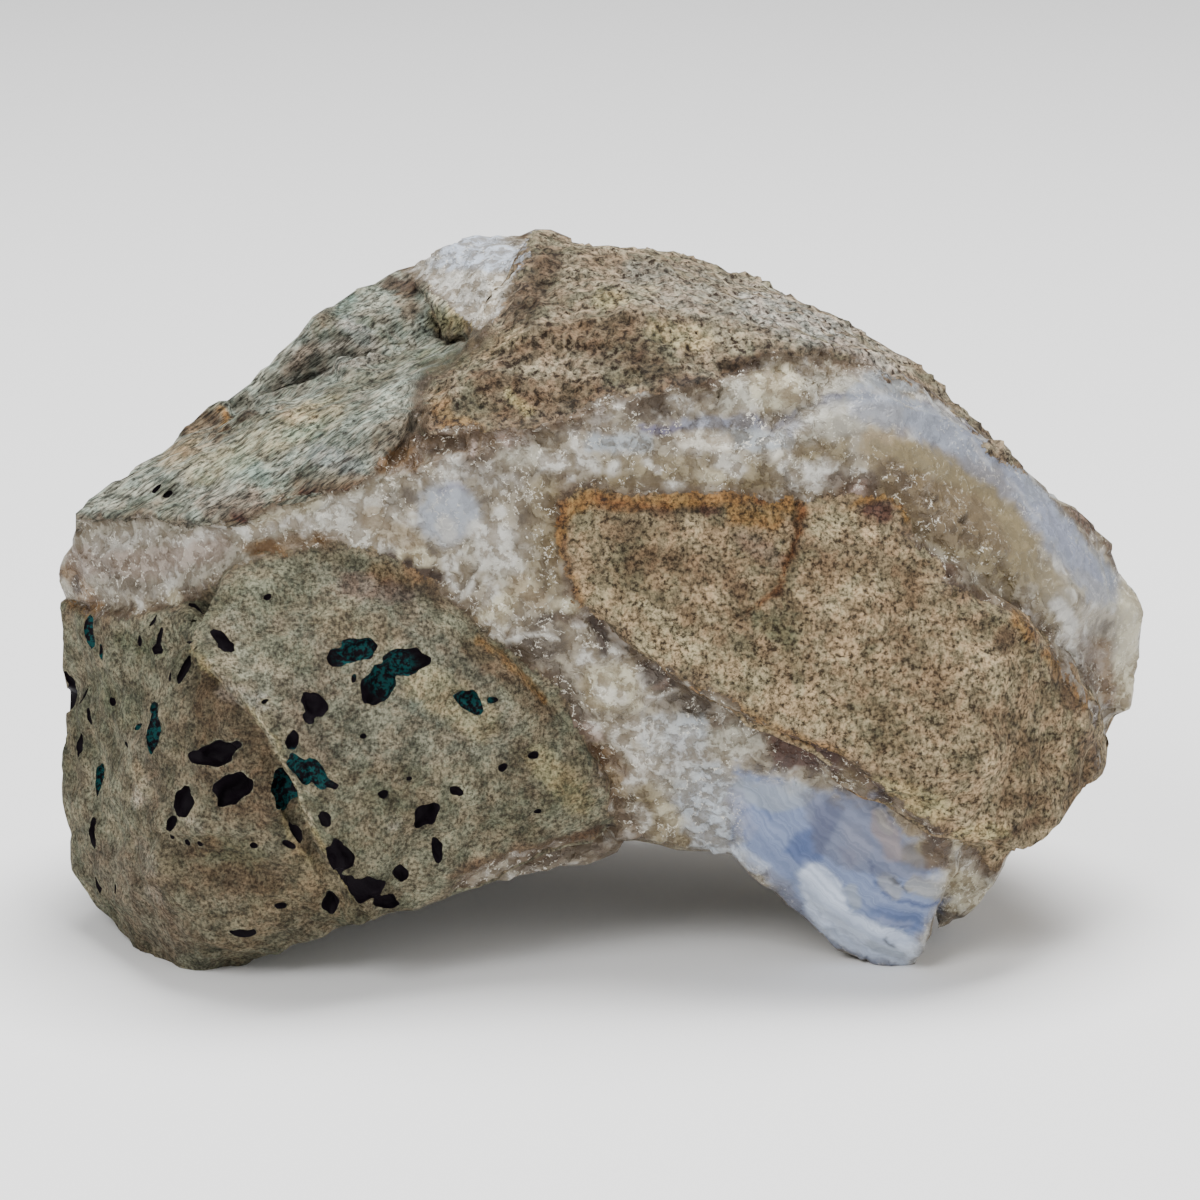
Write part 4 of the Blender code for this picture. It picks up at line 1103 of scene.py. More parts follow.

# %% [markdown]
# The tongue is the finest part: blue agate laid down coat by coat, with a dark blue patch, a white shelf with
# a crack, brown stains at its right and a pale lump at its end. Painted shade greys its underside facet along
# the lower left and darkens a line under the edge of the right-hand block. Its outline is the first mark, and
# is used again for what the shader does there.

# %% Marks on the tongue
TONGUE = [
    (17.9, 25.7), (26, 23.1), (35.4, 21.8), (43.6, 14), (44.2, 8.2), (39.6, 0.4), (35.1, 0.4),
    (28.9, 3.9), (21.2, 12.5), (18.2, 15.3),
]
DARK_PATCH = [
    (27.7, 21.3), (31.5, 20.8), (30.2, 17.4), (28.9, 15.9), (29.1, 13.8), (25.5, 13.8), (23.9, 15.1),
    (25, 16.9), (27.7, 19),
]
TONGUE_MARKS = [
    ("periwinkle", 0.95, 0, *TONGUE),
    ("ice", 0.7, 1.56, (18.9, 23.1), (22.8, 21.8), (26, 22.5)),
    ("frost", 0.5, 1.04, (17.9, 15.3), (20.8, 13)),
    ("lavender", 0.7, 1.3, (17.6, 21.8), (18.9, 17.9)),
    ("deep", 0.6, 0.39, (18.2, 20), (19, 20.3)),
    ("deep", 0.6, 0.39, (21.3, 20.3), (22.6, 19.2)),
    ("deep", 0.9, 0, *DARK_PATCH),
    ("indigo", 0.6, 0, (27.8, 19), (29.9, 19.5), (29.9, 17.2), (28.3, 17.2)),
    ("deep", 0.4, 0.78, (26, 16), (27.9, 14.7)),
    ("lavender", 0.6, 1.17, (32.5, 17.9), (34.1, 15.3), (32.5, 13.8)),
    ("violet", 0.4, 0.65, (31.5, 15.3), (32.8, 14)),
    ("frost", 0.88, 0, (25.5, 12.5), (27.9, 13.5), (29.9, 12.5), (31.5, 10.9), (32, 8.8), (33, 6.8),
     (36.7, 5.5), (40.3, 3.9), (42.1, 2.9), (41.6, 1.3), (39.8, 0.3), (36.7, 0.5), (34.1, 1.6),
     (30.4, 2.9), (28.9, 4.2), (27, 6.9)),
    ("ice", 0.6, 0.65, (35.1, 3), (39, 1.7)),
    ("ice", 0.7, 0.78, (32.5, 10.1), (33.5, 8.2)),
    ("deep", 0.85, 0, (34.6, 7.3), (36.4, 8.3), (41.6, 7), (42.6, 6), (41.9, 4.9), (38.4, 4.9)),
    ("lavender", 0.4, 0.52, (36.4, 6.2), (40.3, 5.6)),
    ("indigo", 0.85, 0.26, (35.1, 13.8), (35.6, 11.7), (36.9, 9.8), (38.9, 8.5), (41.6, 8.1),
     (43.9, 8.2)),
    ("haze", 0.5, 1.04, (37.1, 11.4), (38.4, 9.9)),
    ("ink", 0.7, 0.33, (37.7, 11.4), (39, 10.7), (40.4, 10)),
    ("ink", 0.7, 0.2, (37.2, 4), (37.8, 3.2), (38.5, 2.5)),
    # Painted shade under the lower edge of the right-hand block.
    ("ink", 0.6, 0.39, (29.9, 21.4), (31.6, 20.9)),
    # Painted shade: the slate grey of the tongue's underside facet along its lower left, which faces away
    # from the light.
    ("slate", 0.97, 0, (21.2, 12.5), (22.1, 12.7), (25, 10.9), (27, 6.9), (28.9, 4), (27.9, 4.3),
     (25.4, 7.3)),
    ("slate", 0.7, 0.65, (29.1, 3.4), (33.8, 1), (37.1, 0.3)),
    ("deep", 0.5, 0.17, (17.8, 19.4), (16.8, 15.6)),
    ("deep", 0.5, 0.17, (19.6, 19), (18.5, 15.9)),
    ("blush", 0.9, 0, (35.4, 20.8), (36.9, 20.3), (39, 17.9), (39.4, 14), (37.4, 13.8), (36.4, 16),
     (35.1, 18.2)),
    ("cream", 0.6, 0.65, (36.4, 19.9), (37.4, 17.9)),
    ("haze", 0.7, 1.17, (41, 10.8), (43.6, 10.1)),
    ("olive", 0.9, 0, (39.4, 15.9), (42.2, 16.9), (44.9, 15.1), (44.5, 13), (41, 13), (39, 13.8)),
    ("bark", 0.9, 0, (42.6, 18.7), (45, 18.5), (45, 15.1), (43.4, 15.3), (42.4, 16.9)),
    ("tan", 0.8, 0.78, (39, 19.9), (41, 17.7)),
    ("cream", 0.8, 0.52, (45.2, 17.3), (46.5, 16)),
    ("olive", 0.9, 1.56, (46.5, 11.4), (48.4, 9.5)),
    ("haze", 0.8, 1.56, (47.5, 8.8), (50.1, 10.1)),
    ("umber", 0.7, 0.65, (48.8, 15.3), (50.1, 13.8)),
    ("cream", 0.5, 0.65, (45.8, 7.8), (48.8, 8.2)),
    ("indigo", 0.4, 0, *DARK_PATCH),
    ("deepgrey", 0.55, 0, (26, 23), (36, 22), (42.5, 14), (43, 11), (33, 12.5), (28, 15)),
    ("umber", 0.85, 0, (41.5, 18.2), (45.6, 18.2), (45.6, 12.8), (42.3, 12.8)),
    ("cream", 0.6, 2.0, (46.8, 11), (49.5, 9)),
]
print(len(TONGUE_MARKS), "marks on the tongue")

# %% [markdown]
# The rock has rust along its edges, where the water came in, brown and green patches where it has weathered,
# dark lines in its cracks and a pale line along the ridge of the left-hand block. Some marks are painted
# light: painted shadow in the crease under the ledge, under the lower edge of the slab and under the
# left-hand block, painted shade and light on the facets beside the ridge, and a painted highlight on the
# ledge's lit edge.

# %% Marks on the rock
ROCK_MARKS = [
    ("ochre", 0.85, 1.04, (-3.1, 47.6), (-4.8, 52.5), (-5.2, 57.7), (-4.4, 59.8), (-1.8, 61.2),
     (3.9, 60.5), (14.8, 61.1), (20.3, 61), (25.7, 59.7)),
    ("rust", 0.7, 0.78, (0, 60.5), (3.9, 59.8), (8.1, 59.8)),
    ("umber", 0.8, 0.65, (-4.5, 55.6), (-4.2, 50.4), (-3.1, 47.6)),
    ("rust", 0.7, 0.78, (-4.8, 60.8), (-5.2, 58.2)),
    ("bark", 0.7, 0.52, (5.2, 59.3), (7.8, 59), (13, 59.5)),
    ("rust", 0.95, 0.65, (20.8, 60.6)),
    ("maroon", 0.8, 0.65, (13.9, 59.4), (15.1, 59.3)),
    ("straw", 0.5, 0.78, (17.6, 59.3), (20.8, 58.8)),
    ("ochre", 0.7, 1.3, (17.9, 58.8), (22.9, 58.2)),
    ("umber", 0.7, 0.65, (25.7, 60.6), (26.1, 58.2), (25.7, 55.6), (24.6, 53)),
    ("rust", 0.85, 0.39, (26, 60.2), (26.1, 58.8), (25.7, 56.3), (24.6, 53.6), (23.1, 49.1), (20.8, 47.3),
     (19.2, 46.3)),
    ("umber", 0.6, 0.39, (19.5, 46.5), (17.9, 45)),
    ("umber", 0.6, 1.82, (5.2, 53), (13, 53), (18.2, 49.1)),
    ("umber", 0.4, 1.3, (2.6, 56.9), (10.4, 56.9)),
    ("sand", 0.6, 2.08, (0, 47.8), (6.5, 45.2), (11.7, 42.6)),
    ("mauve", 0.5, 1.3, (18.9, 55.6), (22.8, 53)),
    ("maroon", 0.9, 0, (33.1, 60.2), (35.4, 60.8), (37.7, 60.6), (38.6, 58.9), (37.2, 57.7),
     (34.8, 58.2)),
    ("ochre", 0.9, 0.52, (32.5, 59.5), (33.8, 60.8), (37.1, 61.4), (39.6, 60.1), (39.8, 58.2)),
    ("sand", 0.6, 1.56, (28.6, 57.6), (32.5, 58.2)),
    ("sand", 0.6, 1.56, (31.2, 47.8), (36.4, 50.4)),
    ("umber", 0.5, 1.82, (29.9, 53), (36.4, 53.7), (41.6, 47.8)),
    ("sand", 0.7, 2.6, (7.2, 42.6), (13.7, 41.1), (20.8, 36.1)),
    ("sand", 0.6, 1.82, (26, 34.8), (33.8, 30.9)),
    ("moss", 0.5, 1.3, (20.8, 45.2), (24.7, 42.6)),
    ("umber", 0.5, 1.3, (11.7, 45.2), (15.6, 42.6)),
    ("umber", 0.4, 2.08, (39, 42.6), (44.2, 34.8)),
    ("sand", 0.4, 2.08, (46.8, 42.6), (52, 36.1)),
    ("umber", 0.4, 1.82, (52, 32.2), (57.2, 27)),
    ("ochre", 0.8, 0.91, (54.2, 46), (55.9, 43.2)),
    ("ochre", 0.8, 1.04, (58.5, 40.7), (60.8, 37.4), (62.7, 34.6)),
    ("bark", 0.7, 1.17, (52.8, 43.6), (52, 42)),
    ("umber", 0.7, 1.3, (60.1, 37.8), (61.4, 34.6)),
    ("umber", 0.7, 1.56, (64, 29), (63.2, 24.4), (61.8, 21.1)),
    ("bark", 0.7, 0.78, (57.2, 19.2), (52, 16.6)),
    ("umber", 0.6, 1.17, (35.9, 24.7), (37.7, 21.8)),
    ("ochre", 0.5, 0.65, (12.3, 36.1), (18.2, 33.8), (25.1, 29.9), (31.3, 27.9)),
    ("straw", 0.4, 1.82, (36.4, 23.1), (44.2, 20.5)),
    ("straw", 0.5, 1.04, (46.8, 17.3), (52, 17.9)),
    ("umber", 0.5, 1.04, (52, 21.8), (57.2, 21.8)),
    ("teal", 0.6, 0.91, (-40.7, 69.2), (-36.7, 69.9)),
    ("teal", 0.4, 1.56, (-46.8, 66), (-44.2, 63.4)),
    ("dusk", 0.5, 1.56, (-36.4, 66.7), (-32.5, 65.4)),
    ("tan", 0.6, 1.43, (-40.3, 72), (-38, 72.5)),
    ("straw", 0.25, 2.08, (-52, 64.7), (-41.6, 69.3), (-35.1, 72.5)),
    # Painted shadow: the dark red line under the lower edge of the slab, where it stands proud of the agate.
    ("umber", 0.7, 0.65, (-48.8, 58.2), (-44.2, 58.5), (-40.3, 58.9)),
    ("maroon", 0.9, 0.52, (-47.8, 58.9), (-46.4, 58.2)),
    ("maroon", 0.9, 0.39, (-39, 61.6), (-31.5, 62)),
    ("umber", 0.6, 1.04, (-39, 62.9), (-31.2, 63.2)),
    ("umber", 0.6, 2.08, (-27.9, 68.6), (-23.4, 71.2)),
    ("mauve", 0.5, 1.82, (-45.5, 60.8), (-50.7, 60.2)),
    ("ochre", 0.6, 0.65, (-41.1, 59.5), (-36.4, 60.2), (-33.4, 60.8)),
    # Painted shadow: the black line in the crease under the overhanging ledge.
    ("bark", 0.95, 0, (-49.1, 70.7), (-46.1, 72.5), (-43.6, 72.4), (-46.1, 71.2), (-48.4, 69.9)),
    ("ochre", 0.9, 0.65, (-49.5, 72.8), (-48.6, 71.5), (-49.1, 70.2)),
    ("umber", 0.8, 1.56, (-54.6, 68), (-51.4, 71.2), (-49.9, 69.9)),
    ("tan", 0.6, 1.3, (-55.9, 66), (-52, 68.6)),
    ("stonegrey", 0.7, 0, (-40.3, 81), (-36.4, 81.9), (-33.1, 82.2), (-28.9, 80.3), (-27.3, 80.6),
     (-29.4, 78), (-35.1, 77.5), (-39, 75.8), (-41.6, 75.1)),
    ("umber", 0.5, 1.04, (-40.3, 77.7), (-37.7, 80.3)),
    ("stonegrey", 0.4, 0.78, (-44.9, 73.8), (-40.3, 76.4), (-38.4, 77.1)),
    ("bark", 0.9, 1.17, (-27.3, 88.9), (-24.7, 88.4)),
    ("umber", 0.6, 1.3, (-25.4, 86.8), (-24.4, 85.3)),
    ("bark", 0.6, 0.65, (-20.8, 86.8), (-19.5, 87.4)),
    ("teal", 0.5, 1.04, (-34.5, 84.2), (-32.5, 86.8)),
    ("umber", 0.5, 1.3, (-36.4, 86.8), (-35.1, 84.2)),
    # Painted highlight: the lit edge between the ledge's pale top and its grey face.
    ("milk", 0.3, 1.04, (-33.1, 83.6), (-29.9, 81.6)),
    ("moss", 0.5, 1.82, (-22.1, 79), (-18.2, 81)),
    ("umber", 0.5, 2.08, (-18.9, 82.9), (-15.6, 81.6)),
    ("cream", 0.7, 1.82, (-20.8, 88.1), (-16.9, 86.8)),
    ("straw", 0.5, 1.56, (-20.8, 84.2), (-16.9, 84.5)),
    ("bark", 0.65, 1.82, (-6.8, 91.8), (-9.1, 86.8), (-11.4, 82.2)),
    ("umber", 0.7, 2.34, (-13, 80.3), (-5.2, 81.6), (2.6, 82.9)),
    ("bark", 0.5, 1.3, (0, 79), (5.2, 80.3)),
    ("umber", 0.7, 1.56, (-15.6, 76.4), (-7.8, 75.1), (0, 74.9)),
    ("bark", 0.6, 1.56, (5.2, 79), (11.7, 75.8)),
    ("ochre", 0.6, 1.3, (-20.8, 73.8), (-19.5, 70.6), (-16.2, 69.7)),
    ("umber", 0.6, 1.56, (-13, 72.5), (-5.2, 73.2)),
    ("straw", 0.6, 0.65, (-12, 74.5), (-9.1, 72.3)),
    ("straw", 0.5, 1.04, (0, 86.8), (6.5, 88.1)),
    ("straw", 0.4, 1.56, (7.8, 82.9), (13, 81.6)),
    ("stonegrey", 0.5, 2.86, (5.2, 89.4), (18.2, 86.8), (28.6, 82.9)),
    ("umber", 0.5, 1.04, (31.2, 81), (39, 75.8)),
    ("bark", 0.8, 1.17, (16.2, 78.3), (18.5, 78.3), (20.5, 78.8)),
    ("ink", 0.5, 0.78, (10.9, 76.4), (13.7, 75.9)),
    ("umber", 0.5, 1.04, (-1.3, 91.8), (2.6, 91.8)),
    ("sand", 0.6, 0, (-16.9, 81), (-10.4, 83.6), (-9.1, 82.3), (-15.6, 78.8)),
    ("moss", 0.5, 2.34, (-45.5, 47.8), (-39, 49.1)),
    ("moss", 0.4, 2.08, (-44.2, 42.6), (-39, 40)),
    ("mauve", 0.8, 1.56, (-32.5, 49.8), (-26, 48.9)),
    ("bark", 0.5, 1.04, (-28.6, 49.1), (-22.1, 49.1)),
    ("umber", 0.6, 1.3, (-16.9, 41.3), (-11.7, 37.4), (-7.2, 32.9)),
    ("ochre", 0.7, 0.52, (-15.9, 42.6), (-13, 40.7), (-10.1, 38), (-7.2, 34.8)),
    ("olive", 0.5, 2.6, (-35.1, 45.2), (-28.6, 42.6)),
    ("straw", 0.45, 2.6, (-23.4, 37.4), (-15.6, 32.2)),
    ("straw", 0.4, 1.82, (-7.8, 27), (-2.6, 21.8)),
    # Brown facet left of the ridge, darkened partly with painted shade where the proud block shades it.
    ("umber", 0.55, 0, (-52, 40), (-46.8, 36.1), (-43.4, 31.6), (-41, 25.7), (-40.3, 21.8), (-43.9, 18.2),
     (-48.8, 19.2), (-52, 24.4), (-53.3, 34.8)),
    ("umber", 0.4, 1.82, (-39, 34.8), (-36.4, 27)),
    ("moss", 0.6, 1.82, (-51.4, 16), (-45.5, 14.7)),
    ("umber", 0.6, 1.17, (-52.6, 15.3), (-50.1, 16)),
    ("umber", 0.5, 2.08, (-52, 11.4), (-44.2, 11.4)),
    ("tan", 0.5, 2.08, (-39, 14), (-35.1, 8.8)),
    ("tan", 0.4, 2.6, (-41.6, 8.8), (-46.8, 3.6)),
    ("taupe", 0.6, 2.6, (-63.7, 14), (-59.8, 8.8), (-55.9, 3.6)),
    ("taupe", 0.5, 1.82, (-59.8, 29.6), (-58.5, 21.8)),
    ("pale", 0.5, 0.91, (-59.1, 23.8), (-60.1, 21.8)),
    ("pale", 0.4, 0.91, (-59.5, 16), (-58.5, 12.7)),
    ("pale", 0.4, 0.65, (-58.5, 10.1), (-57.2, 8.8)),
    ("moss", 0.5, 1.56, (-65, 37.4), (-61.1, 32.2)),
    ("moss", 0.6, 1.04, (-62.4, 42.6), (-57.2, 41.3)),
    ("ochre", 0.5, 1.04, (-68.2, 47.8), (-66.3, 46.3)),
    ("pale", 0.5, 0.52, (-26.9, 18.5)),
    ("pale", 0.4, 0.78, (-53.3, 19), (-52, 18.2)),
    ("straw", 0.8, 0.23, (-53, 41.3), (-51.4, 39), (-46.8, 34.8), (-42.6, 30.3), (-40.8, 25.7),
     (-39, 21.8), (-38, 19.2), (-35.8, 15.3), (-32.2, 9.5)),
    ("straw", 0.5, 0.39, (-41.3, 20.8), (-40.3, 16.6), (-37.7, 14)),
    ("stonegrey", 0.6, 1.04, (-48.8, 36.1), (-43.9, 34.2)),
    ("teal", 0.3, 0.78, (-26, 34.8), (-20.8, 32.2)),
    ("sand", 0.5, 0.78, (-60.6, 26), (-59, 22.9)),
    ("amber", 0.6, 1.43, (-28.6, 51.5), (-22.9, 51.1)),
    # Painted shadow: the near-black strip under the lower edge of the left-hand block, above the thin skin of
    # agate.
    ("ink", 0.9, 0.58, (-5.2, 16.4), (-1.3, 17.6), (1.4, 18.3)),
    ("umber", 0.8, 1.04, (-18.2, 12.7), (-7.8, 15.3), (0, 17.3)),
    # Painted shade and light on the left-hand block's facets: browner and darker left of the crack, lighter
    # and greyer right of it, each partly the rock's own colour.
    ("umber", 0.28, 0, (-54, 41), (-46.8, 35.6), (-43, 30.6), (-40.6, 25), (-37.6, 18), (-31.6, 9),
     (-36, 4), (-46, 2), (-56, 4), (-61, 14), (-58, 30)),
    ("stonegrey", 0.18, 0, (-51.5, 42.6), (-46, 50), (-34, 53), (-24, 48), (-10, 33), (-12, 27),
     (-36, 26)),
    ("milk", 0.25, 2.2, (20, 86.5), (32, 82.5), (38, 79)),
    ("cream", 0.5, 0.2, (-52.6, 42), (-46.8, 35.6), (-43.4, 31.2), (-40.6, 25.6), (-37.4, 18.4)),
]
print(len(ROCK_MARKS), "marks on the rock")

# %% [markdown]
# The marks are laid on at the vertices, which could also be done by hand in vertex paint mode. Noise makes
# their edges ragged, as a stain spreads in a rock. A broad stroke fades out further than a fine one.
#
# Under them lies a ground colour that is known everywhere, also on the back, where no marks were drawn.
# Iron from the water stains the edges of the rock there too.

# %% Tints of the rock
RAGGED = 0.8
PATCH_SOFTNESS = 0.7
BROADEST = 3.0
SPREAD_SIZE = 1.4
DRIFT_SIZE = 9.0
CLOUD_SIZE = 3.6
DRIFT_SHIFT = 40
CLOUD_SHIFT = 90
TINT_WANDER = [(1.6, 0.5), (0.7, 0.2)]
TINT_CHANGE = 0.6


def paint_marks(tint, marks, seen, spread, turned, crisp=1.0):
    """Lays each mark's pigment over a tint, more or less of it as the noise in `spread` says."""
    for name, strength, half_width, *line in marks:
        softness = (0.2 + 0.25 * min(half_width, BROADEST) if half_width else PATCH_SOFTNESS) * crisp
        reach = half_width + 3 * softness
        low, high = np.min(line, axis=0) - reach, np.max(line, axis=0) + reach
        near = ((seen > low) & (seen < high)).all(axis=1) & (turned > 0)
        if half_width:
            inside = half_width - np.abs(to_line(seen[near], line))
        else:
            inside = into_ring(seen[near], line)
        amount = smooth_step(inside + RAGGED * softness * spread[near], -softness, softness)
        tint[near] += (strength * turned[near] * amount)[:, None] * (PIGMENTS[name] - tint[near])
    return tint


def toward(tint, name, amount):
    """Mixes a pigment into a tint, as much as an amount says at each point."""
    return tint + np.clip(amount, 0, 1)[:, None] * (PIGMENTS[name] - tint)


points = read(stone.data, "co")
turned = np.empty(len(points), np.float32)
stone.data.attributes["turned"].data.foreach_get("value", turned)
seen = as_seen(points)
rock_depth = drawn_depth(points, seen + wander(points), turned)
seen += sum(wandering(points, size, height) for size, height in TINT_WANDER)
share = shares(face_depths(seen, points, turned), TINT_CHANGE)
spread = noise_at(points, SPREAD_SIZE, 3)
drift = noise_at(points + DRIFT_SHIFT, DRIFT_SIZE, 2)
cloud = noise_at(points + CLOUD_SHIFT, CLOUD_SIZE, 3)
behind = 1 - turned

rock_tint = sum(share[name][:, None] * ROCK_TINTS[name] for name in ROCK_TINTS)
rock_tint *= (1 + 0.3 * drift + 0.32 * cloud)[:, None]
rock_tint = toward(rock_tint, "umber", 0.3 * smooth_step(cloud - drift, 0.1, 0.5))
rock_tint = toward(rock_tint, "moss", 0.25 * smooth_step(-cloud - drift, 0.1, 0.5))
rock_tint = toward(rock_tint, "umber", 0.6 * smooth_step(1.6 - rock_depth + 1.5 * cloud, 0, 1.6))
iron = smooth_step(1.4 - rock_depth + 1.6 * cloud, 0, 1.5) * smooth_step(drift, -0.2, 0.4)
rock_tint = toward(rock_tint, "ochre", 0.7 * iron * behind)
rock_tint = toward(rock_tint, "rust", 0.5 * smooth_step(spread, 0.3, 0.7) * iron * behind)
rock_tint = paint_marks(rock_tint, ROCK_MARKS, seen, spread, turned)
print("the rock's mean tint is", rock_tint.mean(axis=0).round(2).tolist())

# %% [markdown]
# The agate drifts between milky, smoky, olive and icy, because water of different kinds laid it down. It is
# clear and brown where it lies thin on the rock. The tongue's own blue gets a soft edge, and what lies on
# it gets crisp ones.

# %% Tints of the agate
SKIN = 2.6
agate_tint = np.tile(AGATE_TINT, (len(points), 1))
agate_tint = toward(agate_tint, "milk", 0.75 * smooth_step(cloud, 0.15, 0.4))
agate_tint = toward(agate_tint, "smoke", 0.7 * smooth_step(-cloud, 0.15, 0.45))
agate_tint = toward(agate_tint, "olive", 0.7 * behind * smooth_step(drift, 0.05, 0.4))
agate_tint = toward(agate_tint, "ice", 0.8 * behind * smooth_step(-drift, 0.05, 0.4))
near_rock = smooth_step(rock_depth + SKIN + 1.6 * spread, 0, SKIN)
agate_tint = toward(agate_tint, "umber", 0.75 * near_rock)
agate_tint = paint_marks(agate_tint, AGATE_MARKS, seen, spread, turned)
agate_tint = paint_marks(agate_tint, TONGUE_MARKS[:1], seen, spread, turned, crisp=2.2)
agate_tint = paint_marks(agate_tint, TONGUE_MARKS[1:], seen, 0.5 * spread, turned, crisp=0.6)
print("the agate's mean tint is", agate_tint.mean(axis=0).round(2).tolist())

# %% [markdown]
# The shaders need more than tints: where the agate is smooth, how far a point is from the line that the
# coats on the tongue follow, in which bubbles a film of teal has grown, and where the grain is coarse or
# streaky. All this is stored at the vertices as attributes, which travel with the mesh. The depth in the
# rock is stored too. The shader draws the edge between rock and agate from it, finer than the triangles
# are.

# %% What the shaders read
CLIP = 4.0
TEAL = [
    (-66.4, 43), (-58.2, 31), (-31.4, 41.4), (-27, 38), (-38, 25.6), (-41.1, 23.4), (-65, 24.5),
    (-17, 34.7),
]
TEAL_WIDTH = 3.8
BAND_LINE = [(14, 17), (20, 9.5), (27, 3.5), (34, -1), (43, -2.5)]


def store(mesh, name, kind, values):
    """Stores a colour or a number for each vertex."""
    attribute = mesh.attributes.get(name) or mesh.attributes.new(name, kind, "POINT")
    if kind == "FLOAT_COLOR":
        values = np.column_stack((np.clip(values, 0, 1), np.ones(len(values))))
        attribute.data.foreach_set("color", values.astype(np.float32).ravel())
    else:
        attribute.data.foreach_set("value", values.astype(np.float32))


into_tongue = into_ring(seen, TONGUE)
tongue = smooth_step(into_tongue, -2.0, 1.5) * turned
smooth = smooth_places(seen, turned, tongue, 0.55, 0.6)
film = np.max([smooth_step(TEAL_WIDTH - to_line(seen, [place]), 0, 1) for place in TEAL], axis=0)
film = np.where(points[:, 1] < 0, film, smooth_step(drift, 0, 0.2))
band = np.where(into_tongue > -3, np.abs(to_line(seen, BAND_LINE)), 0)
store(stone.data, "rock_tint", "FLOAT_COLOR", rock_tint)
store(stone.data, "agate_tint", "FLOAT_COLOR", agate_tint)
store(stone.data, "rock_depth", "FLOAT", np.clip(rock_depth, -CLIP, CLIP))
store(stone.data, "smooth_agate", "FLOAT", smooth)
store(stone.data, "band", "FLOAT", band)
store(stone.data, "film", "FLOAT", film)
store(stone.data, "coarse", "FLOAT", share["crown"] + 0.5 * share["right"])
store(stone.data, "streaky", "FLOAT", share["slab"])
print("stored:", [item.name for item in stone.data.attributes if item.domain == "POINT"])

# %% [markdown]
# A finish is given to each face by its material. Faces deep in the rock get the rock's, and faces deep in
# the agate get the agate's. The walls of the bubbles keep what the Boolean gave them. The faces in between
# get a fourth finish, which draws the edge.

# %% A material for each face
EDGE = 1.3
ROCK_SLOT, AGATE_SLOT, LINING_SLOT, EDGE_SLOT = range(4)
lining = np.empty(len(stone.data.polygons), np.int32)
stone.data.polygons.foreach_get("material_index", lining)
corners = np.empty(len(stone.data.polygons) * 3, np.int32)
stone.data.polygons.foreach_get("vertices", corners)
depths = rock_depth[corners.reshape(-1, 3)]
slots = np.where(depths.min(axis=1) > EDGE, ROCK_SLOT, EDGE_SLOT)
slots = np.where(depths.max(axis=1) < -EDGE, AGATE_SLOT, slots)
slots = np.where(lining == LINING_SLOT, LINING_SLOT, slots)
seam_edge = bpy.data.materials.new("seam_edge")
stone.data.materials.append(seam_edge)
stone.data.polygons.foreach_set("material_index", slots.astype(np.int32))
print("faces of rock, agate, bubble walls and edges:", np.bincount(slots).tolist())

# %% [markdown]
# Finishes are built from shader nodes. The helpers keep the building short: `node` adds one node with its
# settings and inputs, where an input is a value or another node's output, and `group` starts a node group
# with named inputs and outputs, which more than one material can use. All patterns read Object coordinates,
# which are turned into millimetres first.
#
# The old lava is a felt of tiny crystals: dark grains, pale grains and a few greenish and violet ones. One
# group draws it for every block. Its inputs are the tint, how coarse the grain is, and how far it is drawn
# out into slanting streaks. It puts out the colour, and a height for the bump.

# %% Grain of the rock
GRAINS = (0.45, 0.85)
DRAWN_OUT = (0.22, 0.6, 1.3)
TONE_SIZE = 2.3
DARKEST = (0.36, 0.18)
LIGHTEST = (1.68, 2.0)
WARM = (1.05, 0.98, 0.97, 1)
COOL = (0.97, 1.02, 1.05, 1)
PALE_GRAIN = (1.85, 1.85, 1.7, 1)


def node(tree, kind, settings=None, **inputs):
    """Adds a node. An input is given by its name, or by an underscore and its number."""
    made = tree.nodes.new("ShaderNode" + kind)
    for name, value in (settings or {}).items():
        setattr(made, name, value)
    for name, value in inputs.items():
        socket = made.inputs[int(name[1:])] if name[1:].isdigit() else made.inputs[name.replace("_", " ")]
        if isinstance(value, bpy.types.NodeSocket):
            tree.links.new(value, socket)
        else:
            socket.default_value = value
    return made


def calc(tree, operation, first, second=0.0):
    """A sum, a product or the like."""
    return node(tree, "Math", {"operation": operation}, _0=first, _1=second).outputs[0]


def mixed(tree, share, first, second, blend="MIX"):
    """A mix of two colours."""
    settings = {"data_type": "RGBA", "blend_type": blend}
    return node(tree, "Mix", settings, _0=share, _6=first, _7=second).outputs[2]


def times(tree, first, second):
    """A colour times another colour, or times a value."""
    return mixed(tree, 1.0, first, second, "MULTIPLY")


def mixed_value(tree, share, first, second):
    """A mix of two numbers."""
    return node(tree, "Mix", {"data_type": "FLOAT"}, _0=share, _2=first, _3=second).outputs[0]


def between(tree, value, low, high, start=0.0, end=1.0):
    """Turns a value from low to high into one from start to end, and stays inside them."""
    return node(tree, "MapRange", {"interpolation_type": "SMOOTHSTEP"},
                Value=value, From_Min=low, From_Max=high, To_Min=start, To_Max=end).outputs[0]


def colour(name, strength=1.0):
    """A pigment for a socket."""
    return (*(PIGMENTS[name] * strength), 1.0)


def group(name, inputs, outputs):
    """A node group, with its input and output nodes. Each socket is a name and a kind."""
    tree = bpy.data.node_groups.new(name, "ShaderNodeTree")
    for direction, sockets in (("INPUT", inputs), ("OUTPUT", outputs)):
        for socket, kind in sockets.items():
            tree.interface.new_socket(name=socket, in_out=direction, socket_type="NodeSocket" + kind)
    return tree, tree.nodes.new("NodeGroupInput").outputs, tree.nodes.new("NodeGroupOutput")


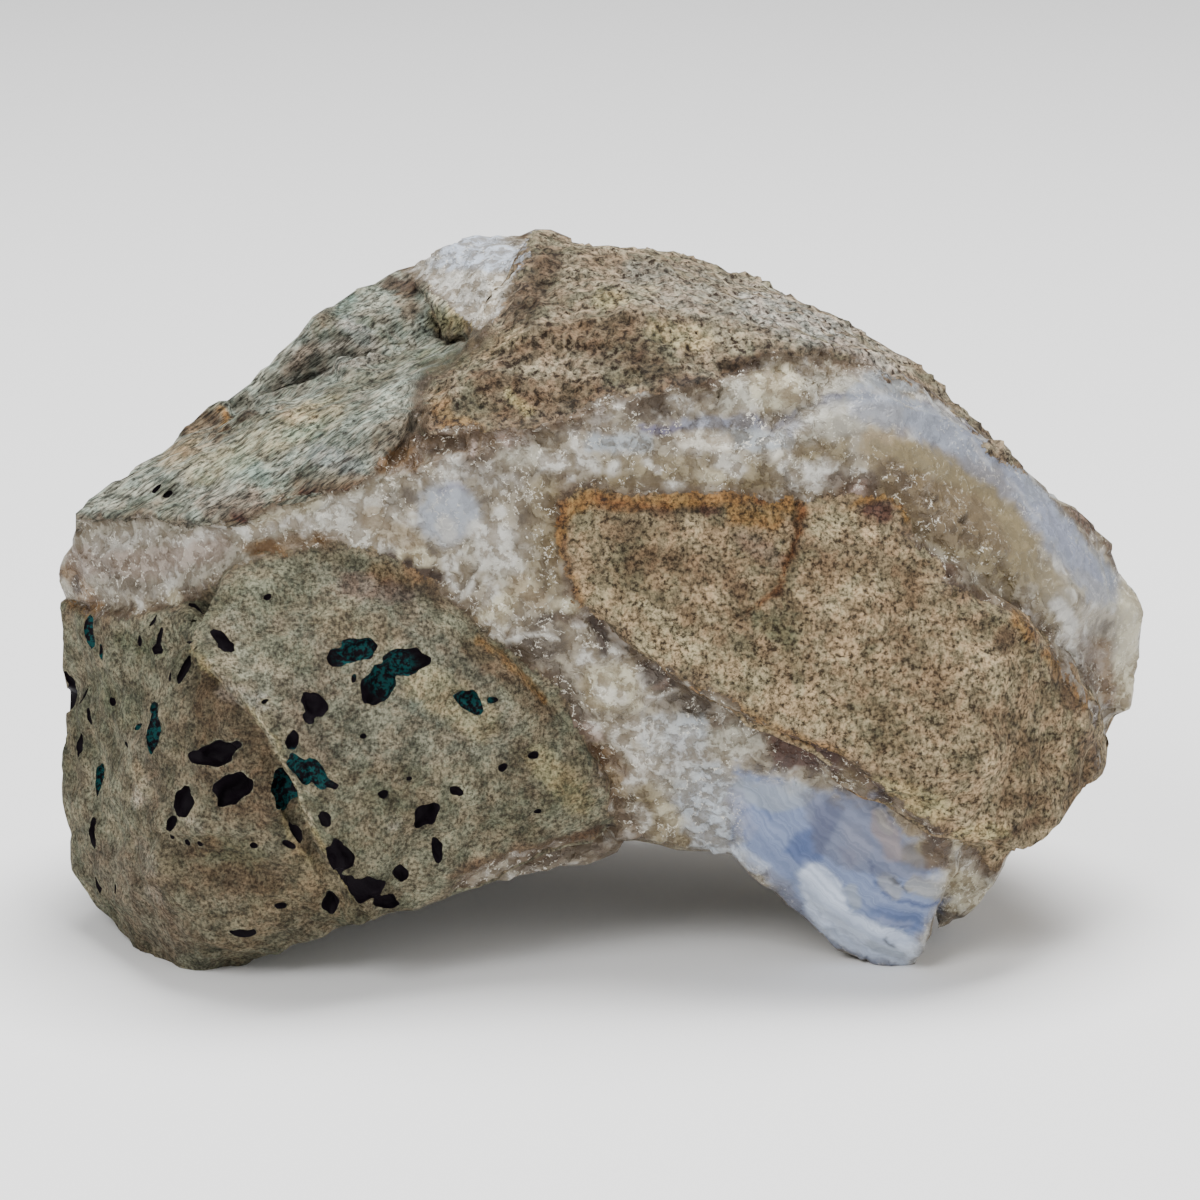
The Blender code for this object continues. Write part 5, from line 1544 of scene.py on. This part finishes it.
def in_mm(tree, stretch=(1, 1, 1), turn=(0, 0, 0)):
    """Object coordinates in millimetres, turned and then stretched."""
    place = node(tree, "TexCoord").outputs["Object"]
    place = node(tree, "Mapping", Vector=place, Rotation=turn).outputs[0]
    return node(tree, "Mapping", Vector=place, Scale=tuple(side / MM for side in stretch)).outputs[0]


tree, inputs, out = group("Rock grain", {"Tint": "Color", "Coarse": "Float", "Streaky": "Float"},
                          {"Color": "Color", "Height": "Float"})
plain = in_mm(tree)
drawn_out = in_mm(tree, stretch=DRAWN_OUT, turn=(0, STREAK, 0))
place = node(tree, "Mix", {"data_type": "VECTOR"}, _0=inputs["Streaky"], _4=plain, _5=drawn_out).outputs[1]
scale = mixed_value(tree, inputs["Coarse"], 1 / GRAINS[0], 1 / GRAINS[1])
grain = node(tree, "TexNoise", Vector=place, Scale=scale, Detail=4.0, Roughness=0.72).outputs["Fac"]
tone = node(tree, "TexNoise", Vector=plain, Scale=1 / TONE_SIZE, Detail=3.0, Roughness=0.65)
hue = node(tree, "SeparateColor", Color=tone.outputs["Color"]).outputs
strong = calc(tree, "MAXIMUM", inputs["Coarse"], inputs["Streaky"])
lowest = mixed_value(tree, strong, *DARKEST)
highest = mixed_value(tree, strong, *LIGHTEST)
value = calc(tree, "MULTIPLY", between(tree, grain, 0.34, 0.68, lowest, highest),
             between(tree, tone.outputs["Fac"], 0.32, 0.68, 0.6, 1.42))
shaded = times(tree, inputs["Tint"], value)
warm = times(tree, shaded, WARM)
cool = times(tree, shaded, COOL)
hued = mixed(tree, between(tree, hue[1], 0.42, 0.58), warm, cool)
pale = between(tree, grain, 0.58, 0.68, 0.0, 0.7)
specked = mixed(tree, pale, hued, times(tree, inputs["Tint"], PALE_GRAIN))
dark = calc(tree, "MULTIPLY", grain, between(tree, hue[2], 0.35, 0.65, 0.86, 1.14))
dark = between(tree, dark, 0.42, 0.36)
dark = calc(tree, "MULTIPLY", dark, between(tree, inputs["Coarse"], 0, 1, 0.25, 0.85))
specked = mixed(tree, dark, specked, colour("bark", 0.6))
tree.links.new(specked, out.inputs["Color"])
tree.links.new(grain, out.inputs["Height"])
print("made the group", tree.name)

# %% [markdown]
# Agate is a felt of quartz fibres too fine to see, so it has no grain. Where it broke, it is a heap of crumbs
# side by side. Milky crumbs are pale. Clear ones let the light in and look dark and brown, so the dark end of
# the mix is warmer than the light end. Some crumbs have a thin bright rim, which is partly the white edge of
# a chip and partly a painted highlight that stands for the glints on the glassy breaks. On the tongue the
# agate is smooth, and was laid down coat by coat, which shows as fine lines along its lower edge.

# %% Crumbs and bands of the agate
MIST_SIZE = 3.2
CRUMB_SIZE = 1.5
CRUMB_EDGE = (0.42, 0.58)
FINE_SIZE = 0.45
GLINT_RIM_LEVEL = 0.51
CLEAR_SMOOTH = (0.66, 0.7, 0.8, 1)
CLEAR_BROKEN = (0.5, 0.43, 0.35, 1)
MILKY = (1.36, 1.37, 1.38, 1)


def noise_of(tree, place, size, detail=3.0, rough=0.6, distortion=0.0):
    """Noise of a size in millimetres."""
    return node(tree, "TexNoise", Vector=place, Scale=1 / size, Detail=detail, Roughness=rough,
                Distortion=distortion).outputs["Fac"]


tree, inputs, out = group("Agate", {"Tint": "Color", "Smooth": "Float", "Band": "Float"},
                          {"Color": "Color", "Height": "Float", "Roughness": "Float"})
place = in_mm(tree)
rough_here = calc(tree, "SUBTRACT", 1.0, inputs["Smooth"])
mist = node(tree, "TexNoise", Vector=place, Scale=1 / MIST_SIZE, Detail=4.0, Roughness=0.62)
crumb = noise_of(tree, place, CRUMB_SIZE, 3.0, 0.6, 0.3)
fine = noise_of(tree, place, FINE_SIZE, 3.0, 0.7)
level = calc(tree, "MULTIPLY", mist.outputs["Fac"], 1.3)
level = calc(tree, "ADD", level, between(tree, crumb, *CRUMB_EDGE, 0, 0.36))
level = calc(tree, "ADD", level, calc(tree, "MULTIPLY", fine, 0.5))
level = between(tree, level, 0.7, 1.5)
coat = calc(tree, "ADD", inputs["Band"], calc(tree, "MULTIPLY", mist.outputs["Fac"], 2.0))
coats = node(tree, "TexNoise", {"noise_dimensions": "1D"}, W=coat, Scale=0.9, Detail=4.0, Roughness=0.65)
coats = between(tree, coats.outputs["Fac"], 0.36, 0.64, 0.2, 0.66)
level = mixed_value(tree, inputs["Smooth"], level, coats)
clear = times(tree, inputs["Tint"], mixed(tree, rough_here, CLEAR_SMOOTH, CLEAR_BROKEN))
milky = times(tree, inputs["Tint"], MILKY)
shaded = mixed(tree, level, clear, milky)
# The bright rims: white chip edges, and painted highlights that stand for glints.
rim = calc(tree, "ABSOLUTE", calc(tree, "SUBTRACT", crumb, GLINT_RIM_LEVEL))
rim = calc(tree, "MULTIPLY", between(tree, rim, 0.006, 0.026, 1.0, 0.0), between(tree, fine, 0.46, 0.55))
patchy = node(tree, "SeparateColor", Color=mist.outputs["Color"]).outputs[2]
rim = calc(tree, "MULTIPLY", calc(tree, "MULTIPLY", rim, between(tree, patchy, 0.47, 0.56)), rough_here)
shaded = mixed(tree, calc(tree, "MULTIPLY", rim, 0.8), shaded, colour("sugar", 1.5))
tree.links.new(shaded, out.inputs["Color"])
height = calc(tree, "ADD", calc(tree, "MULTIPLY", fine, 0.7), between(tree, crumb, *CRUMB_EDGE, 0, 0.6))
height = calc(tree, "MULTIPLY", height, between(tree, inputs["Smooth"], 0, 1, 1, 0.1))
tree.links.new(height, out.inputs["Height"])
tree.links.new(between(tree, fine, 0.35, 0.65, 0.5, 0.28), out.inputs["Roughness"])
print("made the group", tree.name)

# %% [markdown]
# Each group feeds one finish. The broken rock is dull. The agate is waxy, so it is less rough and shines
# more. The bump is measured in metres, and is about half a millimetre deep on the rock. What is the same
# all over is set on the shader itself.

# %% Finish of the rock and of the agate
ROCK_BUMP = 0.00055
AGATE_BUMP = 0.00030
ROCK_ROUGHNESS = 0.85
ROCK_SHINE = 0.15
AGATE_SHINE = 0.4


def placed(tree, name, **inputs):
    """Places a group in another tree."""
    made = tree.nodes.new("ShaderNodeGroup")
    made.node_tree = bpy.data.node_groups[name]
    for socket, value in inputs.items():
        tree.links.new(value, made.inputs[socket])
    return made.outputs


def attribute(tree, name, output="Fac"):
    """Reads what is stored at the vertices under a name."""
    return node(tree, "Attribute", {"attribute_name": name}).outputs[output]


def shader_of(material, shine=None):
    """A material's node tree, and its shader."""
    material.use_nodes = True
    shader = material.node_tree.nodes["Principled BSDF"]
    if shine is not None:
        shader.inputs["Specular IOR Level"].default_value = shine
    return material.node_tree, shader


def rock_look(tree):
    return placed(tree, "Rock grain", Tint=attribute(tree, "rock_tint", "Color"),
                  Coarse=attribute(tree, "coarse"), Streaky=attribute(tree, "streaky"))


def agate_look(tree):
    return placed(tree, "Agate", Tint=attribute(tree, "agate_tint", "Color"),
                  Smooth=attribute(tree, "smooth_agate"), Band=attribute(tree, "band"))


def bumped(tree, shader, height, distance):
    """Makes a height show as bumps."""
    bump = node(tree, "Bump", Height=height, Distance=distance, Strength=1.0)
    tree.links.new(bump.outputs[0], shader.inputs["Normal"])


tree, shader = shader_of(host_rock, ROCK_SHINE)
look = rock_look(tree)
tree.links.new(look["Color"], shader.inputs["Base Color"])
shader.inputs["Roughness"].default_value = ROCK_ROUGHNESS
bumped(tree, shader, look["Height"], ROCK_BUMP)

tree, shader = shader_of(agate, AGATE_SHINE)
look = agate_look(tree)
tree.links.new(look["Color"], shader.inputs["Base Color"])
tree.links.new(look["Roughness"], shader.inputs["Roughness"])
bumped(tree, shader, look["Height"], AGATE_BUMP)
print("finished:", host_rock.name, "and", agate.name)

# %% [markdown]
# Where rock and agate meet, the edge wanders by a fraction of a millimetre. The faces along it lay one
# group over the other, and noise added to the depth in the rock says which one shows.

# %% Finish of the edge between them
EDGE_SHINE = 0.25
EDGE_WANDER = 3.2
EDGE_BLUR = 0.15

tree, shader = shader_of(seam_edge, EDGE_SHINE)
ragged = calc(tree, "SUBTRACT", noise_of(tree, in_mm(tree), 0.9, 4.0, 0.75), 0.5)
ragged = calc(tree, "MULTIPLY", ragged, EDGE_WANDER)
edge = calc(tree, "ADD", attribute(tree, "rock_depth"), ragged)
rock_here = between(tree, edge, -EDGE_BLUR, EDGE_BLUR)
rock = rock_look(tree)
veins = agate_look(tree)
tree.links.new(mixed(tree, rock_here, veins["Color"], rock["Color"]), shader.inputs["Base Color"])
roughness = mixed_value(tree, rock_here, veins["Roughness"], ROCK_ROUGHNESS)
tree.links.new(roughness, shader.inputs["Roughness"])
bumped(tree, shader, mixed_value(tree, rock_here, veins["Height"], rock["Height"]), AGATE_BUMP)
print("finished:", seam_edge.name)

# %% [markdown]
# The walls of the bubbles are almost black, because little light gets in and a dark clay lines them. In
# some of them a teal mineral has grown, in spots that noise picks out.

# %% Finish of the bubble walls
# Painted shade: the walls are near black because little light gets into the hollows, over their dark lining.
DARK_LINING_AND_SHADE = (0.006, 0.004, 0.006, 1)
TEAL_FILM = (0.006, 0.055, 0.056, 1)
LINING_SHINE = 0.06
LINING_ROUGHNESS = 0.6
LINING_BUMP = 0.0001

tree, shader = shader_of(bubble_lining, LINING_SHINE)
place = in_mm(tree)
spots = between(tree, noise_of(tree, place, 0.7, 3.0, 0.7), 0.45, 0.6)
film = calc(tree, "MULTIPLY", attribute(tree, "film"), spots)
tree.links.new(mixed(tree, film, DARK_LINING_AND_SHADE, TEAL_FILM), shader.inputs["Base Color"])
shader.inputs["Roughness"].default_value = LINING_ROUGHNESS
bumped(tree, shader, noise_of(tree, place, 0.8, 2.0), LINING_BUMP)
print("finished:", bubble_lining.name)

# %% [markdown]
# In the picture the stone stands on plain white, in even light that is a little stronger from above. A pale
# floor, a pale world and three large lamps give that. A large lamp has soft edges to its shadows, so the
# grain stays clear without hard contrast. The world adds light from all round, and a dull haze on what
# shines, which is why the finishes above keep their specular levels low.

# %% Floor and light
FLOOR_SIZE = 3.0
FLOOR_TONE = 0.9
FLOOR_ROUGHNESS = 0.9
ROOM_LIGHT = 0.45
LIT_POINT = Vector((0, 0, 0.04))
LAMPS = [
    ("key_lamp", (-0.5, -0.8, 0.8), 0.5, 9),
    ("fill_lamp", (0.7, -0.7, 0.4), 0.8, 4),
    ("top_lamp", (0.1, 0.1, 1.0), 0.6, 20),
]

bpy.ops.mesh.primitive_plane_add(size=FLOOR_SIZE)
floor = bpy.context.object
floor.name = floor.data.name = "floor"
floor_paper = bpy.data.materials.new("floor_paper")
floor.data.materials.append(floor_paper)
tree, shader = shader_of(floor_paper)
shader.inputs["Base Color"].default_value = (FLOOR_TONE, FLOOR_TONE, FLOOR_TONE, 1)
shader.inputs["Roughness"].default_value = FLOOR_ROUGHNESS

for name, place, size, power in LAMPS:
    bpy.ops.object.light_add(type="AREA", location=place)
    lamp = bpy.context.object
    lamp.name = lamp.data.name = name
    lamp.data.size = size
    lamp.data.energy = power
    lamp.rotation_euler = (LIT_POINT - Vector(place)).to_track_quat("-Z", "Y").to_euler()

room = bpy.data.worlds.new("room")
room.use_nodes = True
room.node_tree.nodes["Background"].inputs["Color"].default_value = (1, 1, 1, 1)
room.node_tree.nodes["Background"].inputs["Strength"].default_value = ROOM_LIGHT
bpy.context.scene.world = room
print(len(LAMPS), "lamps and a floor", FLOOR_SIZE, "m wide")

# %% [markdown]
# The camera takes the place of the eye that the front was drawn from, so every mark is seen where it was
# drawn. Its lens follows from how wide a strip it takes in at the stone's distance.

# %% Camera
SENSOR = 36.0
VIEW_WIDTH = 156.0
bpy.ops.object.camera_add(location=EYE * MM, rotation=AHEAD.to_track_quat("-Z", "Y").to_euler())
camera = bpy.context.object
camera.name = camera.data.name = "camera"
camera.data.sensor_width = SENSOR
camera.data.lens = SENSOR * EYE_DISTANCE / VIEW_WIDTH
bpy.context.scene.camera = camera
print("the lens is", round(camera.data.lens), "mm")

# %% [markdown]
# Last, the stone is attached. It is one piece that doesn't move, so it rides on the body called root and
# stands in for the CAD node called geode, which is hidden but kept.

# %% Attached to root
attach(stone, "root")
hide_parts("geode")
